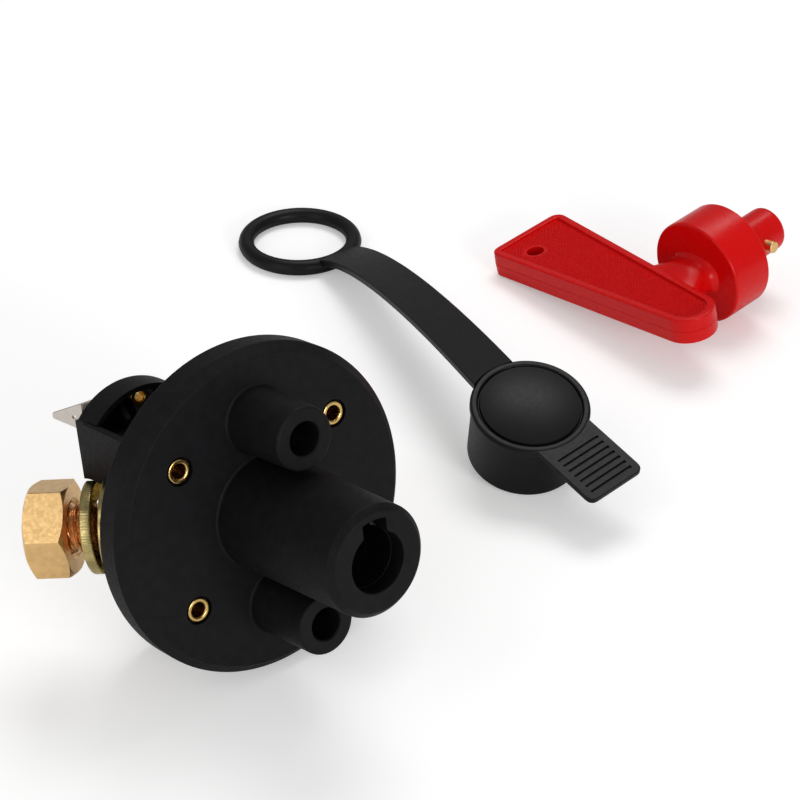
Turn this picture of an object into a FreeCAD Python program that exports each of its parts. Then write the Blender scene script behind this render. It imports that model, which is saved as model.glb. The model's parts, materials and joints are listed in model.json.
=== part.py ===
import FreeCAD, Part
import Sketcher
import math
import os
from FreeCAD import Placement, Rotation, Vector

# Battery switch laid out on a table: the switch leaning back on its rim, the red key beside it,
# and the rubber cap with its strap and retaining ring. Millimetres, Z up, table top at Z = 0.

doc = FreeCAD.newDocument("battery_switch")
os.makedirs("parts", exist_ok=True)

driving = {
    # switch moulding
    "flange_radius": 33.0, "flange_depth": 7.0, "flange_bevel": 1.9,
    "nose_base_radius": 11.5, "nose_tip_radius": 10.85, "nose_length": 34.2, "nose_bevel": 1.2,
    "key_bore_radius": 5.9, "lip_depth": 3.5, "barrel_bore_radius": 8.5,
    "notch_width": 5.6, "notch_reach": 8.4,
    "screw_boss_offset": 19.0, "screw_boss_base": 6.6, "screw_boss_tip": 6.2,
    "screw_boss_length": 15.5, "screw_hole_radius": 3.3,
    "box_half_width": 25.0, "box_half_height": 20.8, "core_half_height": 18.0, "fin_wall": 1.6,
    "box_rear": 20.8, "plate_depth": 3.0, "chamber_radius": 14.2, "chamber_roof": 3.0,
    "slot_half_width": 17.5, "slot_half_height": 6.0,
    "rivet_x": 17.9, "rivet_y": 14.3, "rivet_radius": 2.15, "rivet_head_radius": 2.6,
    "lobe_radius": 14.2, "lobe_wall": 1.3, "lobe_x": 13.5, "lobe_y_upper": 11.5,
    "lobe_y_lower_left": 15.9, "lobe_y_lower_right": 14.25, "hood_front": 17.5,
    "eyelet_x": 12.2, "eyelet_y_upper": 22.0, "eyelet_y_lower": 24.6,
    # main terminals
    "seat_x": 22.6, "seat_z": 16.6, "stud_radius": 5.0, "stud_length": 18.35,
    "tower_radius": 9.4, "flat_washer_radius": 10.0, "flat_washer_depth": 2.0,
    "spring_washer_radius": 9.05, "spring_washer_depth": 2.2, "spring_washer_start": 4.05,
    "nut_start": 9.05, "nut_depth": 8.0, "nut_across_flats": 17.0,
    "contact_level": 10.4, "collar_radius": 6.5,
    # plug tags
    "tag_width": 6.3, "tag_tip_width": 1.6, "tag_sheet": 0.8, "tag_bend_x": 18.5,
    "tag_reach": 9.6, "tag_hole_radius": 0.8,
    # mechanism
    "rotor_radius": 8.42, "rotor_top": 30.4, "rotor_bottom": 8.0, "socket_radius": 5.95,
    "socket_floor": 9.8, "tooth_bottom": 4.0, "travel": 4.0, "carrier_radius": 8.2,
    "carrier_bottom": 3.4, "bridge_half_length": 15.6, "bridge_half_width": 4.5,
    "bridge_depth": 2.0, "tip_x": 13.0, "tip_radius": 3.0, "tip_depth": 1.0,
    "spring_radius": 5.3, "spring_wire": 0.55, "spring_turns": 5.0,
    # key
    "hub_radius": 13.4, "hub_length": 11.7, "hub_web": 2.7, "hub_skirt_bore": 11.75,
    "shaft_radius": 5.75, "shaft_tip": 26.9, "pin_radius": 1.5, "pin_reach": 8.2, "pin_z": 19.5,
    "paddle_depth": 6.6, "paddle_front": 23.4, "paddle_end": 49.7, "paddle_end_rear": 1.3,
    "paddle_nose_x": 13.1, "paddle_nose_radius": 6.7, "paddle_rim": 2.0, "paddle_recess": 0.9,
    "lanyard_hole_radius": 2.25,
    # rubber cap, strap and ring
    "cap_rim_radius": 13.24, "cap_skirt_radius": 12.76, "cap_bore_radius": 11.25,
    "cap_height": 15.7, "cap_sheet": 1.5, "cap_groove_radius": 11.5, "dome_rise": 1.7,
    "tab_width": 15.2, "tab_reach": 27.9, "tab_groove_pitch": 1.73,
    "strap_width": 11.2, "strap_sheet": 1.8, "ring_radius": 14.03, "ring_tube": 2.07,
}

sheet = doc.addObject("Spreadsheet::Sheet", "Sizes")
for row, (name, number) in enumerate(driving.items(), 1):
    sheet.set("A%d" % row, name)
    sheet.set("B%d" % row, str(number))
    sheet.setAlias("B%d" % row, name)
doc.recompute()


class Size:
    """A number that also carries the sheet formula it comes from."""

    def __init__(self, value, text):
        self.value = value
        self.text = text

    def join(self, other, sign, value):
        return Size(value, "(%s %s %s)" % (self.text, sign, size(other).text))

    def __add__(self, other):
        return self.join(other, "+", self.value + size(other).value)

    def __sub__(self, other):
        return self.join(other, "-", self.value - size(other).value)

    def __mul__(self, other):
        return self.join(other, "*", self.value * size(other).value)

    def __truediv__(self, other):
        return self.join(other, "/", self.value / size(other).value)

    def __radd__(self, other):
        return size(other) + self

    def __rsub__(self, other):
        return size(other) - self

    def __rmul__(self, other):
        return size(other) * self

    def __neg__(self):
        return size(0) - self


def size(thing):
    return thing if isinstance(thing, Size) else Size(float(thing), "%.6g" % thing)


def of(name):
    return Size(driving[name], "Sizes." + name)


def bind(thing, field, amount):
    amount = size(amount)
    setattr(thing, field, amount.value)
    if "Sizes." in amount.text:
        thing.setExpression(field, amount.text)


def new_body(name, place=None):
    body = doc.addObject("PartDesign::Body", name)
    body.Label = name
    if place is not None:
        body.Placement = place
    return body


def origin_plane(body, role):
    return [item for item in body.Origin.OriginFeatures if item.Role == role][0]


def new_sketch(body, name, role="XY_Plane", offset=None):
    sketch = body.newObject("Sketcher::SketchObject", name)
    sketch.AttachmentSupport = [(origin_plane(body, role), "")]
    sketch.MapMode = "FlatFace"
    if offset is not None:
        sketch.AttachmentOffset = offset
    return sketch


def pin_point(sketch, line, end, across, up):
    for kind, amount in (("DistanceX", size(across)), ("DistanceY", size(up))):
        rule = sketch.addConstraint(Sketcher.Constraint(kind, -1, 1, line, end, amount.value))
        if "Sizes." in amount.text:
            sketch.setExpression("Constraints[%d]" % rule, amount.text)


def outline(sketch, corners):
    """A closed outline of straight lines through the corners."""
    corners = [(size(across), size(up)) for across, up in corners]
    count = len(corners)
    first = sketch.GeometryCount
    for index in range(count):
        here, there = corners[index], corners[(index + 1) % count]
        sketch.addGeometry(Part.LineSegment(Vector(here[0].value, here[1].value, 0),
                                            Vector(there[0].value, there[1].value, 0)), False)
    for index in range(count):
        after = first + (index + 1) % count
        sketch.addConstraint(Sketcher.Constraint("Coincident", first + index, 2, after, 1))
        pin_point(sketch, first + index, 1, *corners[index])


def ring_line(sketch, across, up, radius):
    across, up, radius = size(across), size(up), size(radius)
    circle = Part.Circle(Vector(across.value, up.value, 0), Vector(0, 0, 1), radius.value)
    line = sketch.addGeometry(circle, False)
    pin_point(sketch, line, 3, across, up)
    rule = sketch.addConstraint(Sketcher.Constraint("Radius", line, radius.value))
    if "Sizes." in radius.text:
        sketch.setExpression("Constraints[%d]" % rule, radius.text)


def pad(body, sketch, length, both_ways=False, backwards=False):
    feature = body.newObject("PartDesign::Pad", sketch.Name + "_pad")
    feature.Profile = sketch
    bind(feature, "Length", length)
    feature.Midplane = both_ways
    feature.Reversed = backwards
    sketch.Visibility = False
    return feature


def pocket(body, sketch, length, backwards=False, both_ways=False):
    feature = body.newObject("PartDesign::Pocket", sketch.Name + "_pocket")
    feature.Profile = sketch
    bind(feature, "Length", length)
    feature.Reversed = backwards
    feature.Midplane = both_ways
    sketch.Visibility = False
    return feature


def turn(body, name, corners, cut=False):
    """A profile of (radius, height) corners turned about the body's Z axis."""
    sketch = new_sketch(body, name, "XZ_Plane")
    outline(sketch, corners)
    kind = "PartDesign::Groove" if cut else "PartDesign::Revolution"
    feature = body.newObject(kind, name + "_turned")
    feature.Profile = sketch
    feature.ReferenceAxis = (sketch, ["V_Axis"])
    feature.Angle = 360.0
    sketch.Visibility = False
    return feature


def shape_step(body, kind, name, place, **amounts):
    feature = body.newObject("PartDesign::" + kind, name)
    for field, amount in amounts.items():
        bind(feature, field, amount)
    feature.Placement = place
    return feature


def block(body, name, low, high, cut=False, turned=None):
    """A box between two corners, in the body's frame or a turned one."""
    low = [size(number) for number in low]
    high = [size(number) for number in high]
    base = Vector(low[0].value, low[1].value, low[2].value)
    place = Placement(base, Rotation())
    if turned is not None:
        place = turned.multiply(place)
    kind = "SubtractiveBox" if cut else "AdditiveBox"
    return shape_step(body, kind, name, place, Length=high[0] - low[0], Width=high[1] - low[1],
                      Height=high[2] - low[2])


def rod(body, name, spot, radius, height, cut=False, turned=None):
    """An upright cylinder whose base centre is at spot."""
    place = Placement(Vector(*[size(number).value for number in spot]), Rotation())
    if turned is not None:
        place = turned.multiply(place)
    kind = "SubtractiveCylinder" if cut else "AdditiveCylinder"
    return shape_step(body, kind, name, place, Radius=radius, Height=height)


def cone(body, name, spot, low_radius, high_radius, height, cut=False):
    place = Placement(Vector(*[size(number).value for number in spot]), Rotation())
    kind = "SubtractiveCone" if cut else "AdditiveCone"
    return shape_step(body, kind, name, place, Radius1=low_radius, Radius2=high_radius,
                      Height=height)


def soften(body, name, edges, radius, bevel=False):
    """Rounds or bevels the edges that the test picks from the body so far."""
    doc.recompute()
    base = body.Tip
    picked = ["Edge%d" % (index + 1) for index, edge in enumerate(base.Shape.Edges) if edges(edge)]
    if not picked:
        raise RuntimeError("no edge for " + name)
    feature = body.newObject("PartDesign::Chamfer" if bevel else "PartDesign::Fillet", name)
    feature.Base = (base, picked)
    bind(feature, "Size" if bevel else "Radius", radius)
    return feature


def group(name, members):
    bundle = doc.addObject("Part::Compound", name)
    bundle.Label = name
    bundle.Links = members
    return bundle


def frame(spot, across, up):
    """A placement from its origin, its X direction and its Z direction."""
    z_way = Vector(*up).normalize()
    x_way = Vector(*across)
    x_way = (x_way - z_way * x_way.dot(z_way)).normalize()
    y_way = z_way.cross(x_way)
    turned = Rotation(FreeCAD.Matrix(x_way.x, y_way.x, z_way.x, 0, x_way.y, y_way.y, z_way.y, 0,
                                     x_way.z, y_way.z, z_way.z, 0, 0, 0, 0, 1))
    return Placement(Vector(*spot), turned)


# ---- where each loose piece lies on the table ----
heading = Rotation(Vector(0, 0, 1), 39.97)
lean = Rotation(Vector(1, 0, 0), 77.48)
roll = Rotation(Vector(0, 0, 1), -3.56)
switch = Placement(Vector(-37.3, -73.55, 33.74), heading.multiply(lean).multiply(roll))
key_place = frame((60.5, 52.05, 13.23), (-0.638, 0.757, -0.142), (0.748, 0.653, 0.120))
cap_place = frame((16.41, -14.35, 18.63), (1.0, 0.0, -0.0473), (0.0454, -0.274, 0.9607))
ring_place = Placement(Vector(-38.17, 88.1, driving["ring_tube"]), Rotation())

# Terminal frames: Z runs out along the stud, 45 degrees back and out, X stays in the switch's XZ plane.
left_terminal = frame((-driving["seat_x"], 0, -driving["seat_z"]), (1, 0, -1), (-1, 0, -1))
right_terminal = frame((driving["seat_x"], 0, -driving["seat_z"]), (-1, 0, -1), (1, 0, -1))
terminals = {"left": left_terminal, "right": right_terminal}
corner_signs = [(-1, 1), (1, 1), (-1, -1), (1, -1)]

# ---- front housing: flange, nose, screw bosses, rear box with its chamber ----
housing = new_body("front_housing", switch)
turn(housing, "housing_profile", [
    (of("barrel_bore_radius"), -of("flange_depth")),
    (of("flange_radius"), -of("flange_depth")),
    (of("flange_radius"), -of("flange_bevel")),
    (of("flange_radius") - of("flange_bevel"), 0),
    (of("nose_base_radius"), 0),
    (of("nose_tip_radius"), of("nose_length") - of("nose_bevel")),
    (of("nose_tip_radius") - of("nose_bevel"), of("nose_length")),
    (of("key_bore_radius"), of("nose_length")),
    (of("key_bore_radius"), of("nose_length") - of("lip_depth")),
    (of("barrel_bore_radius"), of("nose_length") - of("lip_depth")),
])
half_width, half_height = of("box_half_width"), of("box_half_height")
core = of("core_half_height")
block(housing, "core_box", (-half_width, -core, -of("box_rear")),
      (half_width, core, -of("flange_depth")))
for side in (-1, 1):
    edge = half_width - of("fin_wall") / 2.0
    middle = edge * side
    block(housing, "fin_left" if side < 0 else "fin_right",
          (middle - of("fin_wall") / 2.0, -half_height, -of("box_rear")),
          (middle + of("fin_wall") / 2.0, half_height, -of("flange_depth")))
for side in (-1, 1):
    level = of("screw_boss_offset") * side
    straight = of("screw_boss_length") - 0.6
    cone(housing, "screw_boss", (0, level, 0), of("screw_boss_base"), of("screw_boss_tip"), straight)
    cone(housing, "screw_boss_edge", (0, level, straight), of("screw_boss_tip"),
         of("screw_boss_tip") - 0.6, 0.6)
for side, terminal in terminals.items():
    rod(housing, side + "_tower", (0, 0, -12), of("tower_radius"), 12, turned=terminal)
rod(housing, "chamber", (0, 0, -of("box_rear") - 1), of("chamber_radius"),
    of("box_rear") + 1 - of("chamber_roof"), cut=True)
block(housing, "bridge_slot", (-of("slot_half_width"), -of("slot_half_height"), -of("box_rear") - 6),
      (of("slot_half_width"), of("slot_half_height"), -of("chamber_roof")), cut=True)
rod(housing, "barrel_mouth", (0, 0, -of("flange_depth") - 1), of("barrel_bore_radius"),
    of("flange_depth") + 5, cut=True)
for side, terminal in terminals.items():
    rod(housing, side + "_stud_hole", (0, 0, -14), of("stud_radius"), 15, cut=True, turned=terminal)
    rod(housing, side + "_collar_room", (0, 0, -4.5), of("collar_radius"), 2, cut=True,
        turned=terminal)
    block(housing, side + "_notch", (-10.4, -10.4, 0), (10.4, 10.4, 9), cut=True, turned=terminal)
for across, up in corner_signs:
    spot = (of("rivet_x") * across, of("rivet_y") * up)
    rod(housing, "rivet_hole", (spot[0], spot[1], -of("box_rear") - 1), of("rivet_radius"),
        of("box_rear") + 2, cut=True)
    rod(housing, "rivet_recess", (spot[0], spot[1], -1.3), of("rivet_head_radius") + 0.25, 2,
        cut=True)
for side in (-1, 1):
    rod(housing, "screw_hole", (0, of("screw_boss_offset") * side, -of("box_rear") - 1),
        of("screw_hole_radius"), of("box_rear") + of("screw_boss_length") + 2, cut=True)
block(housing, "key_notch", (-of("notch_width") / 2.0, 0, of("nose_length") - of("lip_depth") - 0.1),
      (of("notch_width") / 2.0, of("notch_reach"), of("nose_length") + 1), cut=True)


# ---- rear plate: two hooded lobes above, two below, gussets and terminal notches ----
plate = new_body("rear_plate", switch)
back = -of("box_rear") - of("plate_depth")
hood = of("plate_depth") + of("box_rear") - of("hood_front")
lobes = [(-1, of("lobe_y_upper")), (1, of("lobe_y_upper")), (-1, -of("lobe_y_lower_left")),
         (1, -of("lobe_y_lower_right"))]
for across, level in lobes:
    rod(plate, "lobe", (of("lobe_x") * across, level, back), of("lobe_radius"), hood)
for across, level in lobes:
    rod(plate, "lobe_hollow", (of("lobe_x") * across, level, -of("box_rear")),
        of("lobe_radius") - of("lobe_wall"), hood, cut=True)
block(plate, "hood_clearance", (-40, -half_height - 0.15, -of("box_rear")),
      (40, half_height + 0.15, 0), cut=True)
block(plate, "slab", (-half_width, -half_height, back), (half_width, half_height, -of("box_rear")))
for side in (-1, 1):
    middle = (half_width + 5) * side
    block(plate, "side_trim", (middle - 5, -40, -30), (middle + 5, 40, 0), cut=True)
for across, up in corner_signs:
    gusset = new_sketch(plate, "gusset", "YZ_Plane",
                        Placement(Vector(0, 0, 17.1 * across), Rotation()))
    outline(gusset, [((core + 0.2) * up, -of("box_rear") - 0.5),
                     ((half_height + 3.2) * up, -of("box_rear") - 0.5),
                     ((half_height + 3.2) * up, -of("box_rear") + 0.2),
                     ((half_height - 0.6) * up, -of("hood_front") + 0.2),
                     ((core + 0.2) * up, -of("hood_front") + 0.2)])
    pad(plate, gusset, 1.0, both_ways=True)
for side, terminal in terminals.items():
    rod(plate, side + "_tower_gap", (0, 0, -14), of("tower_radius") + 0.15, 14.5, cut=True,
        turned=terminal)
    block(plate, side + "_notch", (-10.4, -10.4, 0), (10.4, 10.4, 12), cut=True, turned=terminal)
for across, up in corner_signs:
    spot = (of("rivet_x") * across, of("rivet_y") * up)
    rod(plate, "rivet_hole", (spot[0], spot[1], back - 1), of("rivet_radius"), 10, cut=True)
    rod(plate, "rivet_recess", (spot[0], spot[1], back - 1), 3.1, 1.9, cut=True)
    eyelet_y = of("eyelet_y_upper") if up > 0 else of("eyelet_y_lower")
    rod(plate, "eyelet_hole", (of("eyelet_x") * across, eyelet_y * up, back - 1), 1.5, 8, cut=True)
for side in (-1, 1):
    rod(plate, "screw_hole", (0, of("screw_boss_offset") * side, back - 1),
        of("screw_hole_radius"), 12, cut=True)
for across, up in corner_signs:
    eyelet_y = driving["eyelet_y_upper"] if up > 0 else driving["eyelet_y_lower"]
    channel = new_sketch(plate, "strip_channel", "XY_Plane",
                         Placement(Vector(0, 0, -driving["box_rear"]), Rotation()))
    outline(channel, [(across * 4.3, up * 8.2), (across * 8.7, up * 8.2), (across * 15.0, up * (eyelet_y + 1.9)),
                      (across * 9.6, up * (eyelet_y + 1.9)), (across * 4.3, up * 13.6)])
    pocket(plate, channel, 0.6)
rod(plate, "spring_locator", (0, 0, -of("box_rear") - 0.2), of("spring_radius") - 0.9, 2.4)
doc.recompute()

# ---- small cover over the middle of the rear plate, and its two screws ----
cover = new_body("rear_cover", switch)
cover_back = back - 2.4
turn(cover, "cover_profile", [(0, back), (14.4, back), (14.4, back - 1.5), (13.5, cover_back),
                              (0, cover_back)])
for side in (-1, 1):
    rod(cover, "cover_screw_hole", (9.5 * side, 0, cover_back - 1), 1.5, 6, cut=True)
    rod(cover, "cover_screw_sink", (9.5 * side, 0, cover_back - 0.1), 2.7, 1.3, cut=True)
screws = []
for side in (-1, 1):
    screw = new_body("cover_screw_%d" % len(screws), switch.multiply(
        Placement(Vector(9.5 * side, 0, driving["plate_depth"] * 0), Rotation())))
    turn(screw, "cover_screw_profile", [
        (0, cover_back + 0.1), (2.3, cover_back + 0.1), (2.6, cover_back + 0.4),
        (2.6, cover_back + 1.2), (1.5, cover_back + 1.2), (1.5, back + 0.6), (0.9, back + 1.1),
        (0, back + 1.1)])
    block(screw, "drive_slot", (-0.35, -4, cover_back - 1), (0.35, 4, cover_back + 0.7), cut=True)
    screws.append(screw)
    rod(plate, "cover_screw_pilot", (9.5 * side, 0, back - 0.1), 1.5, 1.3, cut=True)
group("cover_screws", screws)

# ---- hollow brass rivets through both mouldings, and the eyelets that hold the tags ----
rivets, eyelets = [], []
for across, up in corner_signs:
    spot = Vector(driving["rivet_x"] * across, driving["rivet_y"] * up, 0)
    rivet = new_body("rivet_%d" % len(rivets), switch.multiply(Placement(spot, Rotation())))
    head, shank = of("rivet_head_radius"), of("rivet_radius")
    turn(rivet, "rivet_profile", [
        (1.45, -0.75), (1.8, -0.5), (head - 0.35, -0.5), (head, -0.85), (head, -1.3), (shank, -1.3),
        (shank, back + 0.9), (2.95, back + 0.9), (2.95, back + 0.55), (2.5, back + 0.15),
        (1.45, back + 0.15)])
    rivets.append(rivet)
    eyelet_y = driving["eyelet_y_upper"] if up > 0 else driving["eyelet_y_lower"]
    spot = Vector(driving["eyelet_x"] * across, eyelet_y * up, 0)
    eyelet = new_body("eyelet_%d" % len(eyelets), switch.multiply(Placement(spot, Rotation())))
    floor = -of("box_rear")
    tag_back = back - of("tag_sheet")
    turn(eyelet, "eyelet_profile", [
        (1.0, floor + 0.35), (1.35, floor + 0.6), (1.7, floor + 0.6), (2.05, floor + 0.3),
        (2.05, floor), (1.5, floor), (1.5, tag_back), (2.1, tag_back), (2.1, tag_back - 0.35),
        (1.7, tag_back - 0.6), (1.0, tag_back - 0.6)])
    eyelets.append(eyelet)
group("front_rivets", rivets)
group("tag_eyelets", eyelets)

# ---- plug tags: flat under the eyelet, bent 45 degrees back, tapered to the tip ----
corner_names = ["upper_left", "upper_right", "lower_left", "lower_right"]
strips = []
for label, (across, up) in zip(corner_names, corner_signs):
    eyelet_y = driving["eyelet_y_upper"] if up > 0 else driving["eyelet_y_lower"]
    centre = (21.0 if up > 0 else 22.4) * up
    half = of("tag_width") / 2.0
    tag = new_body("tag_" + label, switch)
    flat = new_sketch(tag, "tag_flat", "XY_Plane", Placement(Vector(0, 0, back.value), Rotation()))
    outline(flat, [(across * 9.2, centre - half), (of("tag_bend_x") * across, centre - half),
                   (of("tag_bend_x") * across, centre + half), (across * 9.2, centre + half)])
    pad(tag, flat, of("tag_sheet"), backwards=True)
    bend = frame((driving["tag_bend_x"] * across, centre, back.value - driving["tag_sheet"]),
                 (across, 0, -1), (across, 0, 1))
    blade = new_sketch(tag, "tag_blade", "XY_Plane", bend)
    tip, reach = of("tag_tip_width") / 2.0, of("tag_reach")
    outline(blade, [(-0.33, -half), (0, -half), (reach, -tip), (reach, tip), (0, half),
                    (-0.33, half)])
    ring_line(blade, reach - 4.1, 0, of("tag_hole_radius"))
    pad(tag, blade, of("tag_sheet"))
    rod(tag, "eyelet_hole", (of("eyelet_x") * across, eyelet_y * up, back - 3), 1.5, 6, cut=True)

    strip = new_body("strip_" + label, switch)
    lane = new_sketch(strip, "strip_outline", "XY_Plane",
                      Placement(Vector(0, 0, -driving["box_rear"]), Rotation()))
    outline(lane, [(across * 4.4, up * 8.4), (across * 8.6, up * 8.4), (across * 14.8, up * (eyelet_y + 1.8)),
                   (across * 9.8, up * (eyelet_y + 1.8)), (across * 4.4, up * 13.5)])
    pad(strip, lane, 0.6, backwards=True)
    rod(strip, "eyelet_hole", (of("eyelet_x") * across, eyelet_y * up, floor - 2), 1.5, 4, cut=True)
    strips.append(strip)
group("aux_strips", strips)

# ---- main terminals ----
for side, terminal in terminals.items():
    place = switch.multiply(terminal)
    stud = new_body("stud_" + side, place)
    radius, length = of("stud_radius"), of("stud_length")
    turn(stud, "stud_profile", [
        (0, -16), (radius, -16), (radius, -4.5), (of("collar_radius"), -4.5),
        (of("collar_radius"), -2.5), (radius, -2.5), (radius, length - 0.9),
        (radius - 0.9, length), (0, length)])
    level = Placement(terminal.inverse().multVec(Vector(0, 0, -driving["contact_level"])),
                      terminal.Rotation.inverted())
    block(stud, "contact_face", (-40, -12, 0), (40, 12, 40), cut=True, turned=level)

    flat_washer = new_body("flat_washer_" + side, place)
    outer, thick = of("flat_washer_radius"), of("flat_washer_depth")
    turn(flat_washer, "flat_washer_profile", [
        (radius, 0), (outer - 0.3, 0), (outer, 0.3), (outer, thick - 0.3), (outer - 0.3, thick),
        (radius, thick)])

    spring_washer = new_body("spring_washer_" + side, place)
    low = of("spring_washer_start")
    high = low + of("spring_washer_depth")
    outer = of("spring_washer_radius")
    turn(spring_washer, "spring_washer_profile", [
        (radius, low + 0.2), (radius + 0.2, low), (outer - 0.4, low), (outer, low + 0.4),
        (outer, high - 0.4), (outer - 0.4, high), (radius + 0.2, high), (radius, high - 0.2)])
    block(spring_washer, "split", (0, -0.5, low - 1), (14, 0.5, high + 1), cut=True,
          turned=Placement(Vector(0, 0, 0), Rotation(Vector(0, 0, 1), -75)))

    nut = new_body("nut_" + side, place)
    low, high = of("nut_start"), of("nut_start") + of("nut_depth")
    hexagon = new_sketch(nut, "nut_hexagon", "XY_Plane",
                         Placement(Vector(0, 0, low.value), Rotation()))
    corner = of("nut_across_flats") / math.sqrt(3.0)
    outline(hexagon, [(corner * math.cos(math.radians(60 * step)),
                       corner * math.sin(math.radians(60 * step))) for step in range(6)])
    ring_line(hexagon, 0, 0, radius)
    pad(nut, hexagon, of("nut_depth"))
    turn(nut, "nut_corners", [(8.15, high + 0.1), (11, high + 0.1), (11, high - 1.55)], cut=True)
    turn(nut, "nut_corners_inner", [(8.6, low - 0.1), (11, low - 0.1), (11, low + 0.75)], cut=True)

# ---- rotor, carrier, moving contacts and return spring ----
rotor = new_body("rotor", switch)
turn(rotor, "rotor_profile", [
    (0, of("rotor_bottom")), (of("rotor_radius") - 0.4, of("rotor_bottom")),
    (of("rotor_radius"), of("rotor_bottom") + 0.4), (of("rotor_radius"), of("rotor_top") - 0.3),
    (of("rotor_radius") - 0.3, of("rotor_top")), (of("socket_radius"), of("rotor_top")),
    (of("socket_radius"), of("socket_floor")), (0, of("socket_floor"))])
block(rotor, "pin_slot", (-1.75, 0, 15.4), (1.75, 12, 40), cut=True)
for side in (-1, 1):
    middle = 6.4 * side
    block(rotor, "cam_tooth", (-1.4, middle - 1.25, of("tooth_bottom")),
          (1.4, middle + 1.25, of("rotor_bottom") + 1))

carrier = new_body("carrier", switch)
radius, bottom = of("carrier_radius"), -of("carrier_bottom")
deck = of("tooth_bottom") - 0.1
turn(carrier, "carrier_hub", [(0, bottom), (radius, bottom), (radius, deck + 3.4), (0, deck + 3.4)])
rod(carrier, "cam_well", (0, 0, deck), 4.6, 8, cut=True)
for side in (1, -1):
    ramp = new_sketch(carrier, "cam_ramp", "XY_Plane",
                      frame((1.56 * side, 1.56 * side, 0), (side, -side, 0), (-side, -side, 0)))
    outline(ramp, [(-9, deck), (-2.65, deck), (6.4, deck + of("travel")), (6.4, deck + 8),
                   (-9, deck + 8)])
    pocket(carrier, ramp, 12)
rod(carrier, "post", (0, 0, bottom - 4.6), 3.0, 5)
for side in (-1, 1):
    arm = (9.0 * side)
    block(carrier, "arm", (-2, arm - 3.5, bottom - 2), (2, arm + 3.5, bottom + 0.2))
    leg = (11.0 * side)
    block(carrier, "leg", (-2, leg - 1.5, -16), (2, leg + 1.5, bottom))
doc.recompute()

bridge = new_body("bridge", switch)
half_length, half_bar = of("bridge_half_length"), of("bridge_half_width")
bar_top, bar_bottom = bottom, bottom - of("bridge_depth")
block(bridge, "bar", (-half_length, -half_bar, bar_bottom), (half_length, half_bar, bar_top))
rod(bridge, "post_hole", (0, 0, bar_bottom - 1), 3.0, 4, cut=True)
soften(bridge, "bar_corners", lambda edge: abs(edge.tangentAt(edge.FirstParameter).z) > 0.99
       and edge.BoundBox.XLength < 0.01 and abs(edge.CenterOfMass.x) > 15, 1.5)
tips = []
for side in (-1, 1):
    tip = new_body("tip_%d" % len(tips), switch.multiply(
        Placement(Vector(driving["tip_x"] * side, 0, 0), Rotation())))
    radius = of("tip_radius")
    turn(tip, "tip_profile", [(0, bar_bottom), (radius, bar_bottom),
                              (radius, bar_bottom - 0.7), (radius - 0.3, bar_bottom - of("tip_depth")),
                              (0, bar_bottom - of("tip_depth"))])
    tips.append(tip)
group("bridge_tips", tips)
bars = []
for side in (-1, 1):
    bar = new_body("aux_bar_%d" % len(bars), switch)
    middle = 11.0 * side
    block(bar, "aux_bar", (-6.0, middle - 1.7, -16.8), (6.0, middle + 1.7, -16))
    bars.append(bar)
group("aux_bars", bars)

# Return spring: one round wire wound between the rear plate and the bridge.
spring_low, spring_high = -driving["box_rear"], -driving["carrier_bottom"] - driving["bridge_depth"]
wire = driving["spring_wire"]
climb = (spring_high - spring_low - 2 * wire)
helix = Part.makeHelix(climb / driving["spring_turns"], climb, driving["spring_radius"])
helix.translate(Vector(0, 0, spring_low + wire))
start = Vector(driving["spring_radius"], 0, spring_low + wire)
section = Part.Wire([Part.makeCircle(wire, start, Vector(0, 1, 0.3))])
coil_shape = Part.Wire(helix.Edges).makePipeShell([section], True, True)
spring = doc.addObject("Part::Feature", "return_spring")
spring.Label = "return_spring"
spring.Shape = coil_shape
spring.Placement = switch

# ---- red key ----
key = new_body("key", key_place)
hub, web = of("hub_radius"), of("hub_web")
turn(key, "key_profile", [
    (0, 0), (hub - 0.8, 0), (hub, 0.8), (hub, of("hub_length") - 0.6),
    (hub - 0.6, of("hub_length")), (of("hub_skirt_bore"), of("hub_length")),
    (of("hub_skirt_bore"), web), (of("shaft_radius"), web),
    (of("shaft_radius"), of("shaft_tip") - 0.8), (of("shaft_radius") - 0.8, of("shaft_tip")),
    (0, of("shaft_tip"))])
nose_x, nose_radius = driving["paddle_nose_x"], driving["paddle_nose_radius"]
nose_z = nose_radius - driving["paddle_front"]
end_x, end_z = driving["paddle_end"], driving["paddle_end_rear"]
away = math.hypot(end_x + nose_x, end_z - nose_z)
slant = math.atan2(end_z - nose_z, end_x + nose_x) + math.asin(nose_radius / away)


def paddle_outline(sketch, inset):
    """The tapered paddle: square wide end, round narrow end, drawn on the key's XZ plane."""
    radius = nose_radius - inset
    front, end = -driving["paddle_front"] + inset, end_x - inset
    touch = Vector(-nose_x - radius * math.sin(slant), nose_z + radius * math.cos(slant), 0)
    rear_rise = end_z - inset / math.cos(slant) - inset * math.tan(slant)
    points = [Vector(-nose_x, front, 0), Vector(end, front, 0), Vector(end, rear_rise, 0), touch]
    for index in range(3):
        sketch.addGeometry(Part.LineSegment(points[index], points[index + 1]), False)
    arc = Part.Arc(touch, Vector(-nose_x - radius, nose_z, 0), points[0])
    sketch.addGeometry(arc, False)
    for index in range(4):
        sketch.addConstraint(Sketcher.Constraint("Coincident", index, 2, (index + 1) % 4, 1))


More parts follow.
